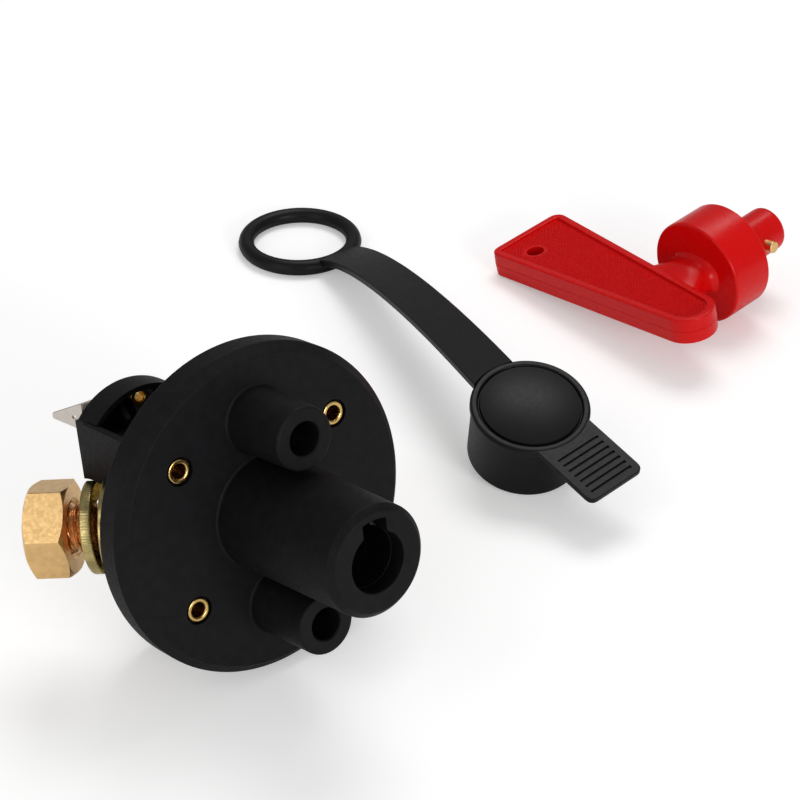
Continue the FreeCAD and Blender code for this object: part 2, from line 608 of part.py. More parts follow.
handle = new_sketch(key, "paddle", "XZ_Plane")
paddle_outline(handle, 0)
pad(key, handle, of("paddle_depth"), both_ways=True)
soften(key, "paddle_corners", lambda edge: abs(edge.BoundBox.YLength - driving["paddle_depth"]) < 0.01
       and edge.BoundBox.XLength < 0.01 and edge.CenterOfMass.x > 40, 2.6)
neck = new_sketch(key, "neck", "XZ_Plane")
outline(neck, [(-8.5, 0.2), (-7.0, -3.5), (-7.2, -14), (14, -14), (14.5, -5.2), (9.5, -4.6),
               (7.2, -3.0), (8.5, 0.2)])
pad(key, neck, of("paddle_depth") - 0.8, both_ways=True)
for side in (-1, 1):
    level = driving["paddle_depth"] / 2.0 * side
    field = new_sketch(key, "paddle_field", "XZ_Plane", Placement(Vector(0, 0, -level), Rotation()))
    paddle_outline(field, driving["paddle_rim"])
    pocket(key, field, of("paddle_recess"), backwards=side > 0)
rod(key, "lanyard_hole", (0, 0, 0), of("lanyard_hole_radius"), 20, cut=True,
    turned=frame((40.4, 10, -15.9), (1, 0, 0), (0, -1, 0)))
rod(key, "pin_hole", (0, 0, 0), of("pin_radius"), 20, cut=True,
    turned=frame((4.4, 0, driving["pin_z"]), (0, 0, 1), (-1, 0, 0)))
pin = new_body("key_pin", key_place.multiply(frame((4.4, 0, driving["pin_z"]), (0, 0, 1), (-1, 0, 0))))
reach = of("pin_reach") + 4.4
turn(pin, "pin_profile", [(0, 0), (of("pin_radius"), 0), (of("pin_radius"), reach - 0.3),
                          (of("pin_radius") - 0.3, reach), (0, reach)])

# ---- rubber cap with its pull tab ----
cap = new_body("cap", cap_place)
rim, skirt, bore = of("cap_rim_radius"), of("cap_skirt_radius"), of("cap_bore_radius")
thick, ledge = of("cap_sheet"), of("cap_groove_radius")
crown = []
for step in range(5):
    part = step / 5.0
    crown.append(((ledge - 0.5) * (1 - part), of("dome_rise") * (1 - (1 - part) ** 2) + 0.15))
turn(cap, "cap_profile", [
    (bore, -of("cap_height")), (skirt, -of("cap_height")), (skirt, -thick), (rim, -thick),
    (rim, -0.3), (rim - 0.3, 0), (ledge + 0.1, 0), (ledge - 0.15, -0.5), (ledge - 0.4, -0.5)]
    + crown + [(0, of("dome_rise") + 0.15), (0, -thick - 0.4), (bore - 0.6, -thick - 0.4),
               (bore, -thick - 1.0)])
tab_way = Rotation(Vector(0, 0, 1), -50.4)
tab = new_sketch(cap, "tab", "XY_Plane", Placement(Vector(0, 0, 0), tab_way))
half = of("tab_width") / 2.0
outline(tab, [(9.5, -half), (of("tab_reach") - 2, -half), (of("tab_reach") - 0.6, 0.6 - half),
              (of("tab_reach"), 2 - half), (of("tab_reach"), half - 2),
              (of("tab_reach") - 0.6, half - 0.6), (of("tab_reach") - 2, half), (9.5, half)])
pad(cap, tab, thick, backwards=True)
rod(cap, "cap_hollow", (0, 0, -of("cap_height") - 1), bore, of("cap_height") - thick, cut=True)
rod(cap, "dome_room", (0, 0, 0.001), ledge + 0.1, 6, cut=True)
turn(cap, "dome", [(0, -thick), (ledge - 0.4, -thick), (ledge - 0.4, -0.5)] + crown
     + [(0, of("dome_rise") + 0.15)])
for step in range(7):
    groove = 15.4 + driving["tab_groove_pitch"] * step
    block(cap, "tab_groove", (groove - 0.3, -5.8, -0.45), (groove + 0.3, 5.8, 1), cut=True,
          turned=Placement(Vector(0, 0, 0), tab_way))

# ---- retaining ring ----
ring = doc.addObject("Part::Torus", "ring")
ring.Label = "ring"
bind(ring, "Radius1", of("ring_radius"))
bind(ring, "Radius2", of("ring_tube"))
ring.Placement = ring_place

# ---- strap: a flat strip lofted through stations along its curve, in two halves ----
start, finish = Vector(-27.85, 77.35, 2.07), Vector(8.2, -5.1, 20.8)
leave = Vector(0.574, -0.654, 0.493) * 19.3
arrive = Vector(-0.399, 0.916, -0.049) * 8.1
knots = [start, start + leave, finish + arrive, finish]


def strap_station(part):
    """Centre, along and across directions of the strap at a fraction of its curve."""
    rest = 1 - part
    centre = (knots[0] * rest ** 3 + knots[1] * (3 * rest * rest * part)
              + knots[2] * (3 * rest * part * part) + knots[3] * part ** 3)
    along = ((knots[1] - knots[0]) * (rest * rest) + (knots[2] - knots[1]) * (2 * rest * part)
             + (knots[3] - knots[2]) * (part * part)).normalize()
    across = Vector(-0.752, -0.659, 0) * rest + Vector(-0.78, -0.61, -0.1) * part
    across = (across - along * across.dot(along)).normalize()
    return centre, along, across


def strap_piece(name, first, last, anchor):
    width, thick = driving["strap_width"] / 2.0, driving["strap_sheet"] / 2.0
    wires = []
    for step in range(7):
        centre, along, across = strap_station(first + (last - first) * step / 6.0)
        up = across.cross(along)
        if up.z < 0:
            up = up * -1
        corners = [centre + across * width + up * thick, centre - across * width + up * thick,
                   centre - across * width - up * thick, centre + across * width - up * thick]
        wires.append(Part.makePolygon(corners + corners[:1]))
    piece = doc.addObject("Part::Feature", name)
    piece.Label = name
    piece.Shape = Part.makeLoft(wires, True, False).cut(anchor.Shape)
    return piece


doc.recompute()
strap_piece("strap_ring_side", 0.0, 0.5, ring)
strap_piece("strap_cap_side", 0.5, 1.0, cap)
doc.recompute()

# ---- checks and files ----
names = ["front_housing", "rear_plate", "rear_cover", "cover_screws", "front_rivets", "tag_eyelets",
         "tag_upper_left", "tag_upper_right", "tag_lower_left", "tag_lower_right", "aux_strips",
         "stud_left", "stud_right", "flat_washer_left", "flat_washer_right", "spring_washer_left",
         "spring_washer_right", "nut_left", "nut_right", "rotor", "carrier", "bridge",
         "bridge_tips", "aux_bars", "return_spring", "key", "key_pin", "cap", "ring",
         "strap_ring_side", "strap_cap_side"]
for item in doc.Objects:
    if "Invalid" in item.State or "Error" in item.State:
        raise RuntimeError("%s is %s" % (item.Name, item.State))
for name in names:
    item = doc.getObject(name)
    if item.Shape.isNull() or not item.Shape.isValid():
        raise RuntimeError(name + " has no valid shape")
    box = item.Shape.BoundBox
    print("%-20s solids %d volume %9.2f x %.1f %.1f y %.1f %.1f z %.2f %.2f" % (
        name, len(item.Shape.Solids), item.Shape.Volume, box.XMin, box.XMax, box.YMin, box.YMax,
        box.ZMin, box.ZMax))
    item.Shape.exportStep("parts/%s.step" % name)
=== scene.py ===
import json
import math
import bmesh
import bpy
from mathutils import Matrix, Vector
from mathutils.noise import noise


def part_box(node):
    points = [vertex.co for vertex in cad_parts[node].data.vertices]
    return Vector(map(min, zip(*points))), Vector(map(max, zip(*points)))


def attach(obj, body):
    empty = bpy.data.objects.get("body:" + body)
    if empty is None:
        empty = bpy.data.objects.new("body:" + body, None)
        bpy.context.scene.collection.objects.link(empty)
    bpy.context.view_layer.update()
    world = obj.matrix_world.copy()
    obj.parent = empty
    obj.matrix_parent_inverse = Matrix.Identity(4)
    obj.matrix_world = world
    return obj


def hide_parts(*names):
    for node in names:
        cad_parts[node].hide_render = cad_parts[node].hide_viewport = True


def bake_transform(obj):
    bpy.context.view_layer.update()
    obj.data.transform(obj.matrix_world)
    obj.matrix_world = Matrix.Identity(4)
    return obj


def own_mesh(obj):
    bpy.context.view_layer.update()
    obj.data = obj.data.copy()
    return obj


# Sizes in the pieces' dictionaries are millimetres, and every mesh is scaled to metres as it is placed.
# The studio's and the camera's places are metres.
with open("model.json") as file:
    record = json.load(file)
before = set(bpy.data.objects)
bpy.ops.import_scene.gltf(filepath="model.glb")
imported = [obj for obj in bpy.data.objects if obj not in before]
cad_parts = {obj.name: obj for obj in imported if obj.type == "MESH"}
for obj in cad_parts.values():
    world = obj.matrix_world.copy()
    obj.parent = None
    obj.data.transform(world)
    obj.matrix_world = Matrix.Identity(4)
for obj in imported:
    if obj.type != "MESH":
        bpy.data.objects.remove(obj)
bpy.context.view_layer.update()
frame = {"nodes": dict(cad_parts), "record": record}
scene = bpy.context.scene
scene.view_settings.view_transform = "Standard"
mm = 0.001


# places, read from the record's mounts
def mountPoint(name):
    found = [mount for mount in frame["record"]["mounts"] if mount["name"] == name][0]
    return Vector(found["pos_m"]), Vector(found["axis"]).normalized()


def placeOf(origin, across, up):
    # a metre-scaled placement from an origin, its X direction and its Z direction
    up = up.normalized()
    across = (across - up * across.dot(up)).normalized()
    side = up.cross(across)
    turned = Matrix((across, side, up)).transposed().to_4x4()
    return Matrix.Translation(origin) @ turned @ Matrix.Scale(mm, 4)


mountDepth = {"keyShaft": 23.5, "capMouth": 9.5}  # from a piece's origin to its mount
flangeSpot, switchUp = mountPoint("mounting_holes")
switchSide = mountPoint("cable_stud_right")[0] - mountPoint("cable_stud_left")[0]
switchPlace = placeOf(flangeSpot, switchSide, switchUp)
shaftSpot, keyUp = mountPoint("key_shaft")
keySide = mountPoint("lanyard_hole")[1]
keyPlace = placeOf(shaftSpot - keyUp * mountDepth["keyShaft"] * mm, keySide.cross(keyUp), keyUp)
mouthSpot, capDown = mountPoint("cap_mouth")
capPlace = placeOf(mouthSpot - capDown * mountDepth["capMouth"] * mm, Vector((1, 0, 0)), -capDown)
ringLow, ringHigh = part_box("ring")
ringPlace = Matrix.Translation((ringLow + ringHigh) / 2) @ Matrix.Scale(mm, 4)
seat = {"x": 22.6, "z": -16.6}  # the right terminal in the switch's frame, mirrored for the left
terminalPlace = {}
for side, sign in (("left", -1), ("right", 1)):
    lean = placeOf(Vector((seat["x"] * sign, 0, seat["z"])), Vector((-sign, 0, -1)), Vector((sign, 0, -1)))
    terminalPlace[side] = switchPlace @ lean @ Matrix.Scale(1 / mm, 4)


# mesh helpers
def roundedLine(corners, closed=False, turns=6):
    # corners are (across, up) or (across, up, radius): each radius becomes an arc
    line = []
    count = len(corners)
    for index, corner in enumerate(corners):
        here = Vector(corner[:2])
        radius = corner[2] if len(corner) > 2 else 0
        if radius <= 0 or (not closed and index in (0, count - 1)):
            line.append(here)
            continue
        before = Vector(corners[index - 1][:2]) - here
        after = Vector(corners[(index + 1) % count][:2]) - here
        half = before.angle(after) / 2
        run = min(radius / math.tan(half), before.length * 0.49, after.length * 0.49)
        first, last = here + before.normalized() * run, here + after.normalized() * run
        for step in range(turns + 1):
            part = step / turns
            line.append(first * (1 - part) ** 2 + here * (2 * part * (1 - part)) + last * part ** 2)
    return line


def skin(rings, closeLoop=False):
    # faces between rings of equally many points; the end rings are capped, or joined to each other
    mesh = bmesh.new()
    rows = [[mesh.verts.new(point) for point in ring] for ring in rings]
    count = len(rows[0])
    pairs = list(zip(rows, rows[1:]))
    if closeLoop:
        pairs.append((rows[-1], rows[0]))
    for low, high in pairs:
        for index in range(count):
            after = (index + 1) % count
            mesh.faces.new((low[index], low[after], high[after], high[index]))
    if not closeLoop:
        mesh.faces.new(rows[0])
        mesh.faces.new(rows[-1])
    return mesh


def lathe(profile, steps=96):
    # profile is a closed (radius, height) line; where it stays off the axis it makes a ring
    rings = []
    for step in range(steps):
        turn = math.tau * step / steps
        rings.append([Vector((r * math.cos(turn), r * math.sin(turn), z)) for r, z in profile])
    return skin(rings, closeLoop=True)


def meshObject(name, mesh, place=None):
    if place is not None:
        mesh.transform(place)
    weld, sliver = (1e-4, 1e-5) if place is None else (1e-7, 1e-8)  # the same sizes in mm and in metres
    bmesh.ops.remove_doubles(mesh, verts=mesh.verts, dist=weld)
    bmesh.ops.dissolve_degenerate(mesh, edges=mesh.edges, dist=sliver)
    bmesh.ops.recalc_face_normals(mesh, faces=mesh.faces)
    data = bpy.data.meshes.new(name)
    mesh.to_mesh(data)
    mesh.free()
    made = bpy.data.objects.new(name, data)
    scene.collection.objects.link(made)
    return made


def bake(made):
    bpy.context.view_layer.update()
    solid = bpy.data.meshes.new_from_object(made.evaluated_get(bpy.context.evaluated_depsgraph_get()))
    made.modifiers.clear()
    old = made.data
    made.data = solid
    bpy.data.meshes.remove(old)


def shapeWith(made, tools, operation):
    # one boolean step for each tool mesh, which is used up
    for tool in tools:
        helper = meshObject("tool", tool) if isinstance(tool, bmesh.types.BMesh) else tool
        step = made.modifiers.new("step", "BOOLEAN")
        step.operation = operation
        step.solver = "MANIFOLD"
        step.object = helper
        bake(made)
        bpy.data.objects.remove(helper)
    return made


def blockMesh(low, high, place=None, corner=0.0):
    # a box between two corners; corner rounds its upright edges
    line = roundedLine([(low[0], low[1], corner), (high[0], low[1], corner), (high[0], high[1], corner),
                        (low[0], high[1], corner)], closed=True, turns=5)
    mesh = skin([[Vector((x, y, z)) for x, y in line] for z in (low[2], high[2])])
    if place is not None:
        mesh.transform(place)
    return mesh


def rodMesh(spot, radius, height, place=None, steps=64, topRadius=None):
    rings = []
    for level, size in ((0, radius), (height, radius if topRadius is None else topRadius)):
        rings.append([Vector((spot[0] + size * math.cos(math.tau * step / steps),
                              spot[1] + size * math.sin(math.tau * step / steps), spot[2] + level))
                      for step in range(steps)])
    mesh = skin(rings)
    if place is not None:
        mesh.transform(place)
    return mesh


def dress(made, material, body, nodes=(), sharp=32, place=None, weighted=True, ownFrame=False):
    # smooth shading with crisp corners, the material, and the body that it rides on;
    # with ownFrame the object keeps its own axes, so that a finish can follow them
    if place is not None and ownFrame:
        made.data.transform(Matrix.Scale(mm, 4))
        made.matrix_world = place @ Matrix.Scale(1 / mm, 4)
    elif place is not None:
        made.data.transform(place)
    made.data.materials.clear()
    made.data.materials.append(material)
    made.data.shade_smooth()
    made.data.set_sharp_from_angle(angle=math.radians(sharp))
    if weighted:
        smooth = made.modifiers.new("weighted", "WEIGHTED_NORMAL")
        smooth.keep_sharp = True
        smooth.weight = 80
    if nodes:
        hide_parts(*nodes)
    if body is not None:
        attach(made, body)
    return made


# materials
looks = {
    "nylon": {"color": (0.0064, 0.0058, 0.0068), "rough": 0.52, "specular": 0.12},
    "nylonBore": {"color": (0.006, 0.006, 0.0065), "rough": 0.30, "specular": 0.5},
    "rubber": {"color": (0.0058, 0.0052, 0.0058), "rough": 0.42, "specular": 0.20},
    "red": {"color": (0.66, 0.0012, 0.0016), "rough": 0.28, "specular": 0.22},
    "brass": {"color": (0.93, 0.60, 0.26), "rough": 0.34},
    "rivet": {"color": (0.72, 0.48, 0.17), "rough": 0.22},
    "zinc": {"color": (0.50, 0.40, 0.17), "rough": 0.28},
    "copper": {"color": (0.85, 0.45, 0.22), "rough": 0.25},
    "tin": {"color": (0.72, 0.66, 0.60), "rough": 0.42},
    "steel": {"color": (0.45, 0.45, 0.46), "rough": 0.32},
}


class Finish:
    # a principled material and the nodes that break up its colour, roughness and surface
    def __init__(self, name, look, metal=0.0):
        self.color, self.rough = looks[look]["color"], looks[look]["rough"]
        self.material = bpy.data.materials.new(name)
        self.material.use_nodes = True
        self.tree = self.material.node_tree
        self.shader = self.tree.nodes["Principled BSDF"]
        self.shader.inputs["Base Color"].default_value = (*self.color, 1)
        self.shader.inputs["Roughness"].default_value = self.rough
        self.shader.inputs["Metallic"].default_value = metal
        self.shader.inputs["Specular IOR Level"].default_value = looks[look].get("specular", 0.5)
        self.place = self.tree.nodes.new("ShaderNodeTexCoord").outputs["Object"]
        self.height = None

    def noise(self, size, detail):
        # size is the feature size in millimetres
        cloud = self.tree.nodes.new("ShaderNodeTexNoise")
        cloud.inputs["Scale"].default_value = 1 / (size * mm)
        cloud.inputs["Detail"].default_value = detail
        self.tree.links.new(self.place, cloud.inputs["Vector"])
        return cloud.outputs["Fac"]

    def ramp(self, value, low, high):
        # a noise rarely leaves the middle of its range, so that middle is spread from low to high
        span = self.tree.nodes.new("ShaderNodeMapRange")
        self.tree.links.new(value, span.inputs["Value"])
        for name, number in (("From Min", 0.3), ("From Max", 0.7), ("To Min", low), ("To Max", high)):
            span.inputs[name].default_value = number
        return span.outputs["Result"]

    def mottleRough(self, value, spread):
        self.tree.links.new(self.ramp(value, self.rough - spread, self.rough + spread),
                            self.shader.inputs["Roughness"])

    def mottleColor(self, value, dark, light):
        mix = self.tree.nodes.new("ShaderNodeMix")
        mix.data_type = "RGBA"
        mix.inputs["A"].default_value = (*[part * dark for part in self.color], 1)
        mix.inputs["B"].default_value = (*[part * light for part in self.color], 1)
        self.tree.links.new(self.ramp(value, 0, 1), mix.inputs["Factor"])
        self.tree.links.new(mix.outputs["Result"], self.shader.inputs["Base Color"])

    def relief(self, value, depth):
        # depth is the height of the relief in millimetres
        bump = self.tree.nodes.new("ShaderNodeBump")
        bump.inputs["Strength"].default_value = 1.0
        bump.inputs["Distance"].default_value = depth * mm
        self.tree.links.new(value, bump.inputs["Height"])
        if self.height is not None:
            self.tree.links.new(self.height, bump.inputs["Normal"])
        self.height = bump.outputs["Normal"]
        self.tree.links.new(self.height, self.shader.inputs["Normal"])


def nylonFinish():
    finish = Finish("housing_nylon", "nylon")
    finish.mottleColor(finish.noise(2.2, 5), 0.80, 1.25)
    finish.mottleRough(finish.noise(0.8, 4), 0.06)
    finish.relief(finish.noise(0.28, 3), 0.010)
    finish.relief(finish.noise(1.6, 2), 0.012)
    return finish.material


def smoothNylonFinish():
    finish = Finish("rotor_nylon", "nylonBore")
    finish.mottleRough(finish.noise(1.5, 3), 0.06)
    finish.relief(finish.noise(0.5, 3), 0.004)
    return finish.material


def rubberFinish():
    finish = Finish("cap_rubber", "rubber")
    finish.mottleColor(finish.noise(6.0, 4), 0.85, 1.2)
    finish.mottleRough(finish.noise(1.0, 3), 0.035)
    finish.relief(finish.noise(0.35, 3), 0.006)
    return finish.material


def redFinish():
    finish = Finish("red_nylon", "red")
    finish.mottleRough(finish.noise(2.5, 3), 0.05)
    finish.relief(finish.noise(2.0, 2), 0.010)
    return finish.material


def metalFinish(name, look, spread=0.06, grain=0.4, depth=0.003, dark=0.9, light=1.08):
    finish = Finish(name, look, metal=1.0)
    finish.mottleColor(finish.noise(1.6, 4), dark, light)
    finish.mottleRough(finish.noise(0.7, 4), spread)
    finish.relief(finish.noise(grain, 3), depth)
    return finish.material


nylon, boreNylon, rubber, red = nylonFinish(), smoothNylonFinish(), rubberFinish(), redFinish()
nutBrass = metalFinish("nut_brass", "brass", 0.07, 0.5, 0.006)
rivetBrass = metalFinish("rivet_brass", "rivet")
zinc = metalFinish("yellow_zinc", "zinc", 0.08, 0.3, 0.004, 0.8, 1.15)
copper = metalFinish("copper", "copper")
tin = metalFinish("tinned", "tin", 0.06, 0.3, 0.002, 0.95, 1.05)
steel = metalFinish("zinc_steel", "steel")
print("materials made")

# front housing
housing = {
    "flangeRadius": 33.0, "flangeDepth": 7.0, "bevel": 1.9, "noseBase": 11.5, "noseTip": 10.85,
    "noseLength": 34.2, "noseBevel": 1.2, "fillet": 0.55, "keyBore": 5.9, "lip": 3.5, "barrelBore": 8.5,
    "notchWidth": 5.4, "notchReach": 8.4, "shoulder": 5.5, "bossOffset": 19.0, "bossBase": 6.6,
    "bossTip": 6.2, "bossLength": 15.5, "screwHole": 3.3, "boxHalfWidth": 25.0, "boxHalfHeight": 20.8,
    "coreHalfHeight": 18.0,
    "wideLow": -8.5, "narrowHalfWidth": 21.0, "flatRoom": 10.25, "flatRoomDepth": 2.3, "splitRoom": 9.35,
    "finWall": 1.6, "boxRear": 20.8, "plateDepth": 3.0, "chamber": 14.2, "chamberRoof": 3.0,
    "slotHalfWidth": 17.5, "slotHalfHeight": 6.0, "towerRadius": 9.4, "studRadius": 5.0, "collar": 6.5,
    "collarLow": -4.5, "collarDepth": 2.0,
    "rivetX": 17.9, "rivetY": 14.3, "rivetRadius": 2.15, "recessRadius": 2.85, "recessDepth": 1.3,
}
cornerSigns = [(-1, 1), (1, 1), (-1, -1), (1, -1)]


def localPlace(place):
    # a terminal placement seen from the switch's own frame, in millimetres
    return switchPlace.inverted() @ place


def washerRoom(local):
    return [rodMesh((0, 0, 0), housing["flatRoom"], housing["flatRoomDepth"], local, steps=96),
            rodMesh((0, 0, housing["flatRoomDepth"] - 0.1), housing["splitRoom"], 12, local, steps=96)]


def makeNotch(size):
    # the slot for the key's cross pin: an arched top and round shoulders where it meets the bore
    half, reach, shoulder = size["notchWidth"] / 2, size["notchReach"], size["shoulder"]
    spread = math.asin(half / reach)
    arch = [(reach * math.sin(spread * part / 4), reach * math.cos(spread * part / 4))
            for part in range(4, -5, -1)]
    line = roundedLine([(half + 1.0, shoulder - 1.2), (half, shoulder, 0.9), *arch, (-half, shoulder, 0.9),
                        (-half - 1.0, shoulder - 1.2)], closed=False, turns=6)
    levels = (size["noseLength"] - size["lip"] - 0.1, size["noseLength"] + 1)
    return skin([[Vector((x, y, level)) for x, y in line] for level in levels])


def makeHousing(size):
    profile = roundedLine([
        (size["barrelBore"], -size["flangeDepth"]),
        (size["flangeRadius"], -size["flangeDepth"], 0.4),
        (size["flangeRadius"], -size["bevel"], 0.45),
        (size["flangeRadius"] - size["bevel"], 0, 0.35),
        (size["noseBase"], 0, size["fillet"]),
        (size["noseTip"], size["noseLength"] - size["noseBevel"], 0.5),
        (size["noseTip"] - size["noseBevel"], size["noseLength"], 0.35),
        (size["keyBore"], size["noseLength"], 0.3),
        (size["keyBore"], size["noseLength"] - size["lip"], 0.1),
        (size["barrelBore"], size["noseLength"] - size["lip"], 0.1)], closed=True, turns=5)
    made = meshObject("front_housing_skin", lathe(profile, 192))
    core, wide, high = size["coreHalfHeight"], size["boxHalfWidth"], size["boxHalfHeight"]
    back, front = -size["boxRear"], -size["flangeDepth"] + 1
    narrow, low = size["narrowHalfWidth"], size["wideLow"]
    solids = [blockMesh((-wide, low, back), (wide, core, front), corner=0.4),
              blockMesh((-narrow, -core, back), (narrow, low + 1, front), corner=0.4)]
    for sign in (-1, 1):
        fin = sorted((sign * wide, sign * (wide - size["finWall"])))
        solids.append(blockMesh((fin[0], low, back), (fin[1], high, front), corner=0.3))
        boss = roundedLine([(0, -1), (size["bossBase"] + 1.5, -1), (size["bossBase"] + 1.5, -0.02),
                            (size["bossBase"], 0.0, size["fillet"]),
                            (size["bossTip"], size["bossLength"], 0.6), (0, size["bossLength"])], turns=5)
        rings = []
        for r, z in boss[1:-1]:
            rings.append([Vector((r * math.cos(math.tau * step / 96),
                                  size["bossOffset"] * sign + r * math.sin(math.tau * step / 96), z))
                          for step in range(96)])
        solids.append(skin(rings))
    for place in terminalPlace.values():
        solids.append(rodMesh((0, 0, -12), size["towerRadius"], 12, localPlace(place)))
    shapeWith(made, solids, "UNION")
    holes = [
        rodMesh((0, 0, back - 1), size["chamber"], -back + 1 - size["chamberRoof"], steps=96),
        blockMesh((-size["slotHalfWidth"], -size["slotHalfHeight"], back - 6),
                  (size["slotHalfWidth"], size["slotHalfHeight"], -size["chamberRoof"])),
        rodMesh((0, 0, -size["flangeDepth"] - 1), size["barrelBore"], size["flangeDepth"] + 5, steps=192),
        makeNotch(size)]
    for place in terminalPlace.values():
        local = localPlace(place)
        holes.append(rodMesh((0, 0, -14), size["studRadius"] + 0.02, 15, local))
        holes.append(rodMesh((0, 0, size["collarLow"]), size["collar"], size["collarDepth"], local))
        holes.extend(washerRoom(local))
    for across, up in cornerSigns:
        spot = (size["rivetX"] * across, size["rivetY"] * up)
        holes.append(rodMesh((*spot, back - 1), size["rivetRadius"], -back + 2, steps=48))
        holes.append(rodMesh((*spot, -size["recessDepth"]), size["recessRadius"], 2, steps=48))
    for sign in (-1, 1):
        holes.append(rodMesh((0, size["bossOffset"] * sign, back - 1), size["screwHole"],
                             -back + size["bossLength"] + 2, steps=64))
        holes.append(rodMesh((0, size["bossOffset"] * sign, size["bossLength"] - 0.25), size["screwHole"],
                             0.5, steps=64, topRadius=size["screwHole"] + 0.5))
    shapeWith(made, holes, "DIFFERENCE")
    return dress(made, nylon, "switch", ["front_housing"], sharp=30, place=switchPlace)


makeHousing(housing)
print("housing made")


# the rear cover keeps the node's own shape, with welded corners, and five nodes keep their own mesh
def breakEdges(made, width):
    step = made.modifiers.new("edges", "BEVEL")
    step.width = width
    step.segments = 2
    step.limit_method = "ANGLE"
    step.angle_limit = math.radians(35)
    step.use_clamp_overlap = True
    bake(made)


def weldNode(node, material, body):
    source = frame["nodes"][node]
    mesh = bmesh.new()
    mesh.from_mesh(source.data)
    bmesh.ops.remove_doubles(mesh, verts=mesh.verts, dist=2e-6)
    bmesh.ops.dissolve_limit(mesh, angle_limit=math.radians(0.8), verts=mesh.verts, edges=mesh.edges)
    data = bpy.data.meshes.new(node + "_skin")
    mesh.to_mesh(data)
    mesh.free()
    made = bpy.data.objects.new(node + "_skin", data)
    scene.collection.objects.link(made)
    made.matrix_world = source.matrix_world
    return dress(made, material, body, [node], sharp=30)


weldNode("rear_cover", nylon, "switch")
plain = {"cover_screws": steel, "carrier": boreNylon, "bridge": copper, "bridge_tips": steel, "aux_bars": tin}
for node, material in plain.items():
    frame["nodes"][node].data.materials.clear()
    frame["nodes"][node].data.materials.append(material)
print("carried-over nodes dressed")

# the rear plate with its four hooded lobes, the contact strips under it and the plug tags behind it
plate = {
    "upperX": 13.5, "upperY": 11.5, "upperRadius": 14.2, "lowerX": 8.0, "lowerLeftY": -18.31,
    "lowerRightY": -17.31, "lowerRadius": 11.5, "lobeWall": 1.0, "hoodFront": -17.5, "ribWidth": 1.0,
    "upperRib": 17.1, "lowerRib": 12.6,
    "tailRoom": 2.7, "contactGap": 0.03,
}
eyelet = {"bore": 1.05, "rim": 2.05, "shank": 1.48, "hole": 1.5, "upperX": 12.4, "upperY": 22.5,
          "lowerX": 7.5, "lowerY": 23.0, "rise": 0.62}
tag = {"width": 5.3, "tipWidth": 1.0, "sheet": 0.8, "reach": 6.2, "hole": 0.45, "holeSpot": 1.5, "edge": 0.06,
       "upperY": 20.7, "upperBendX": 22.8, "upperBend": 61.0, "lowerBendX": 10.4, "lowerBend": 90.0,
       "upperInner": 9.2, "lowerInner": 4.5}
stripDepth = 0.6


def eyeletSpot(across, up):
    row = "upper" if up > 0 else "lower"
    return eyelet[row + "X"] * across, eyelet[row + "Y"] * up


def prism(line, low, high):
    return skin([[Vector((x, y, z)) for x, y in line] for z in (low, high)])


def stripLine(across, up, ease):
    x, y = eyeletSpot(1, up)
    far, nearSide, farSide = y * up + 1.8 + ease, x - 2.4 - ease, x + 2.8 + ease
    corners = [(4.4 - ease, 8.4 - ease), (8.6 + ease, 8.4 - ease), (farSide, far), (nearSide, far),
               (4.4 - ease, 13.5 + ease)]
    return [(a * across, b * up) for a, b in corners]


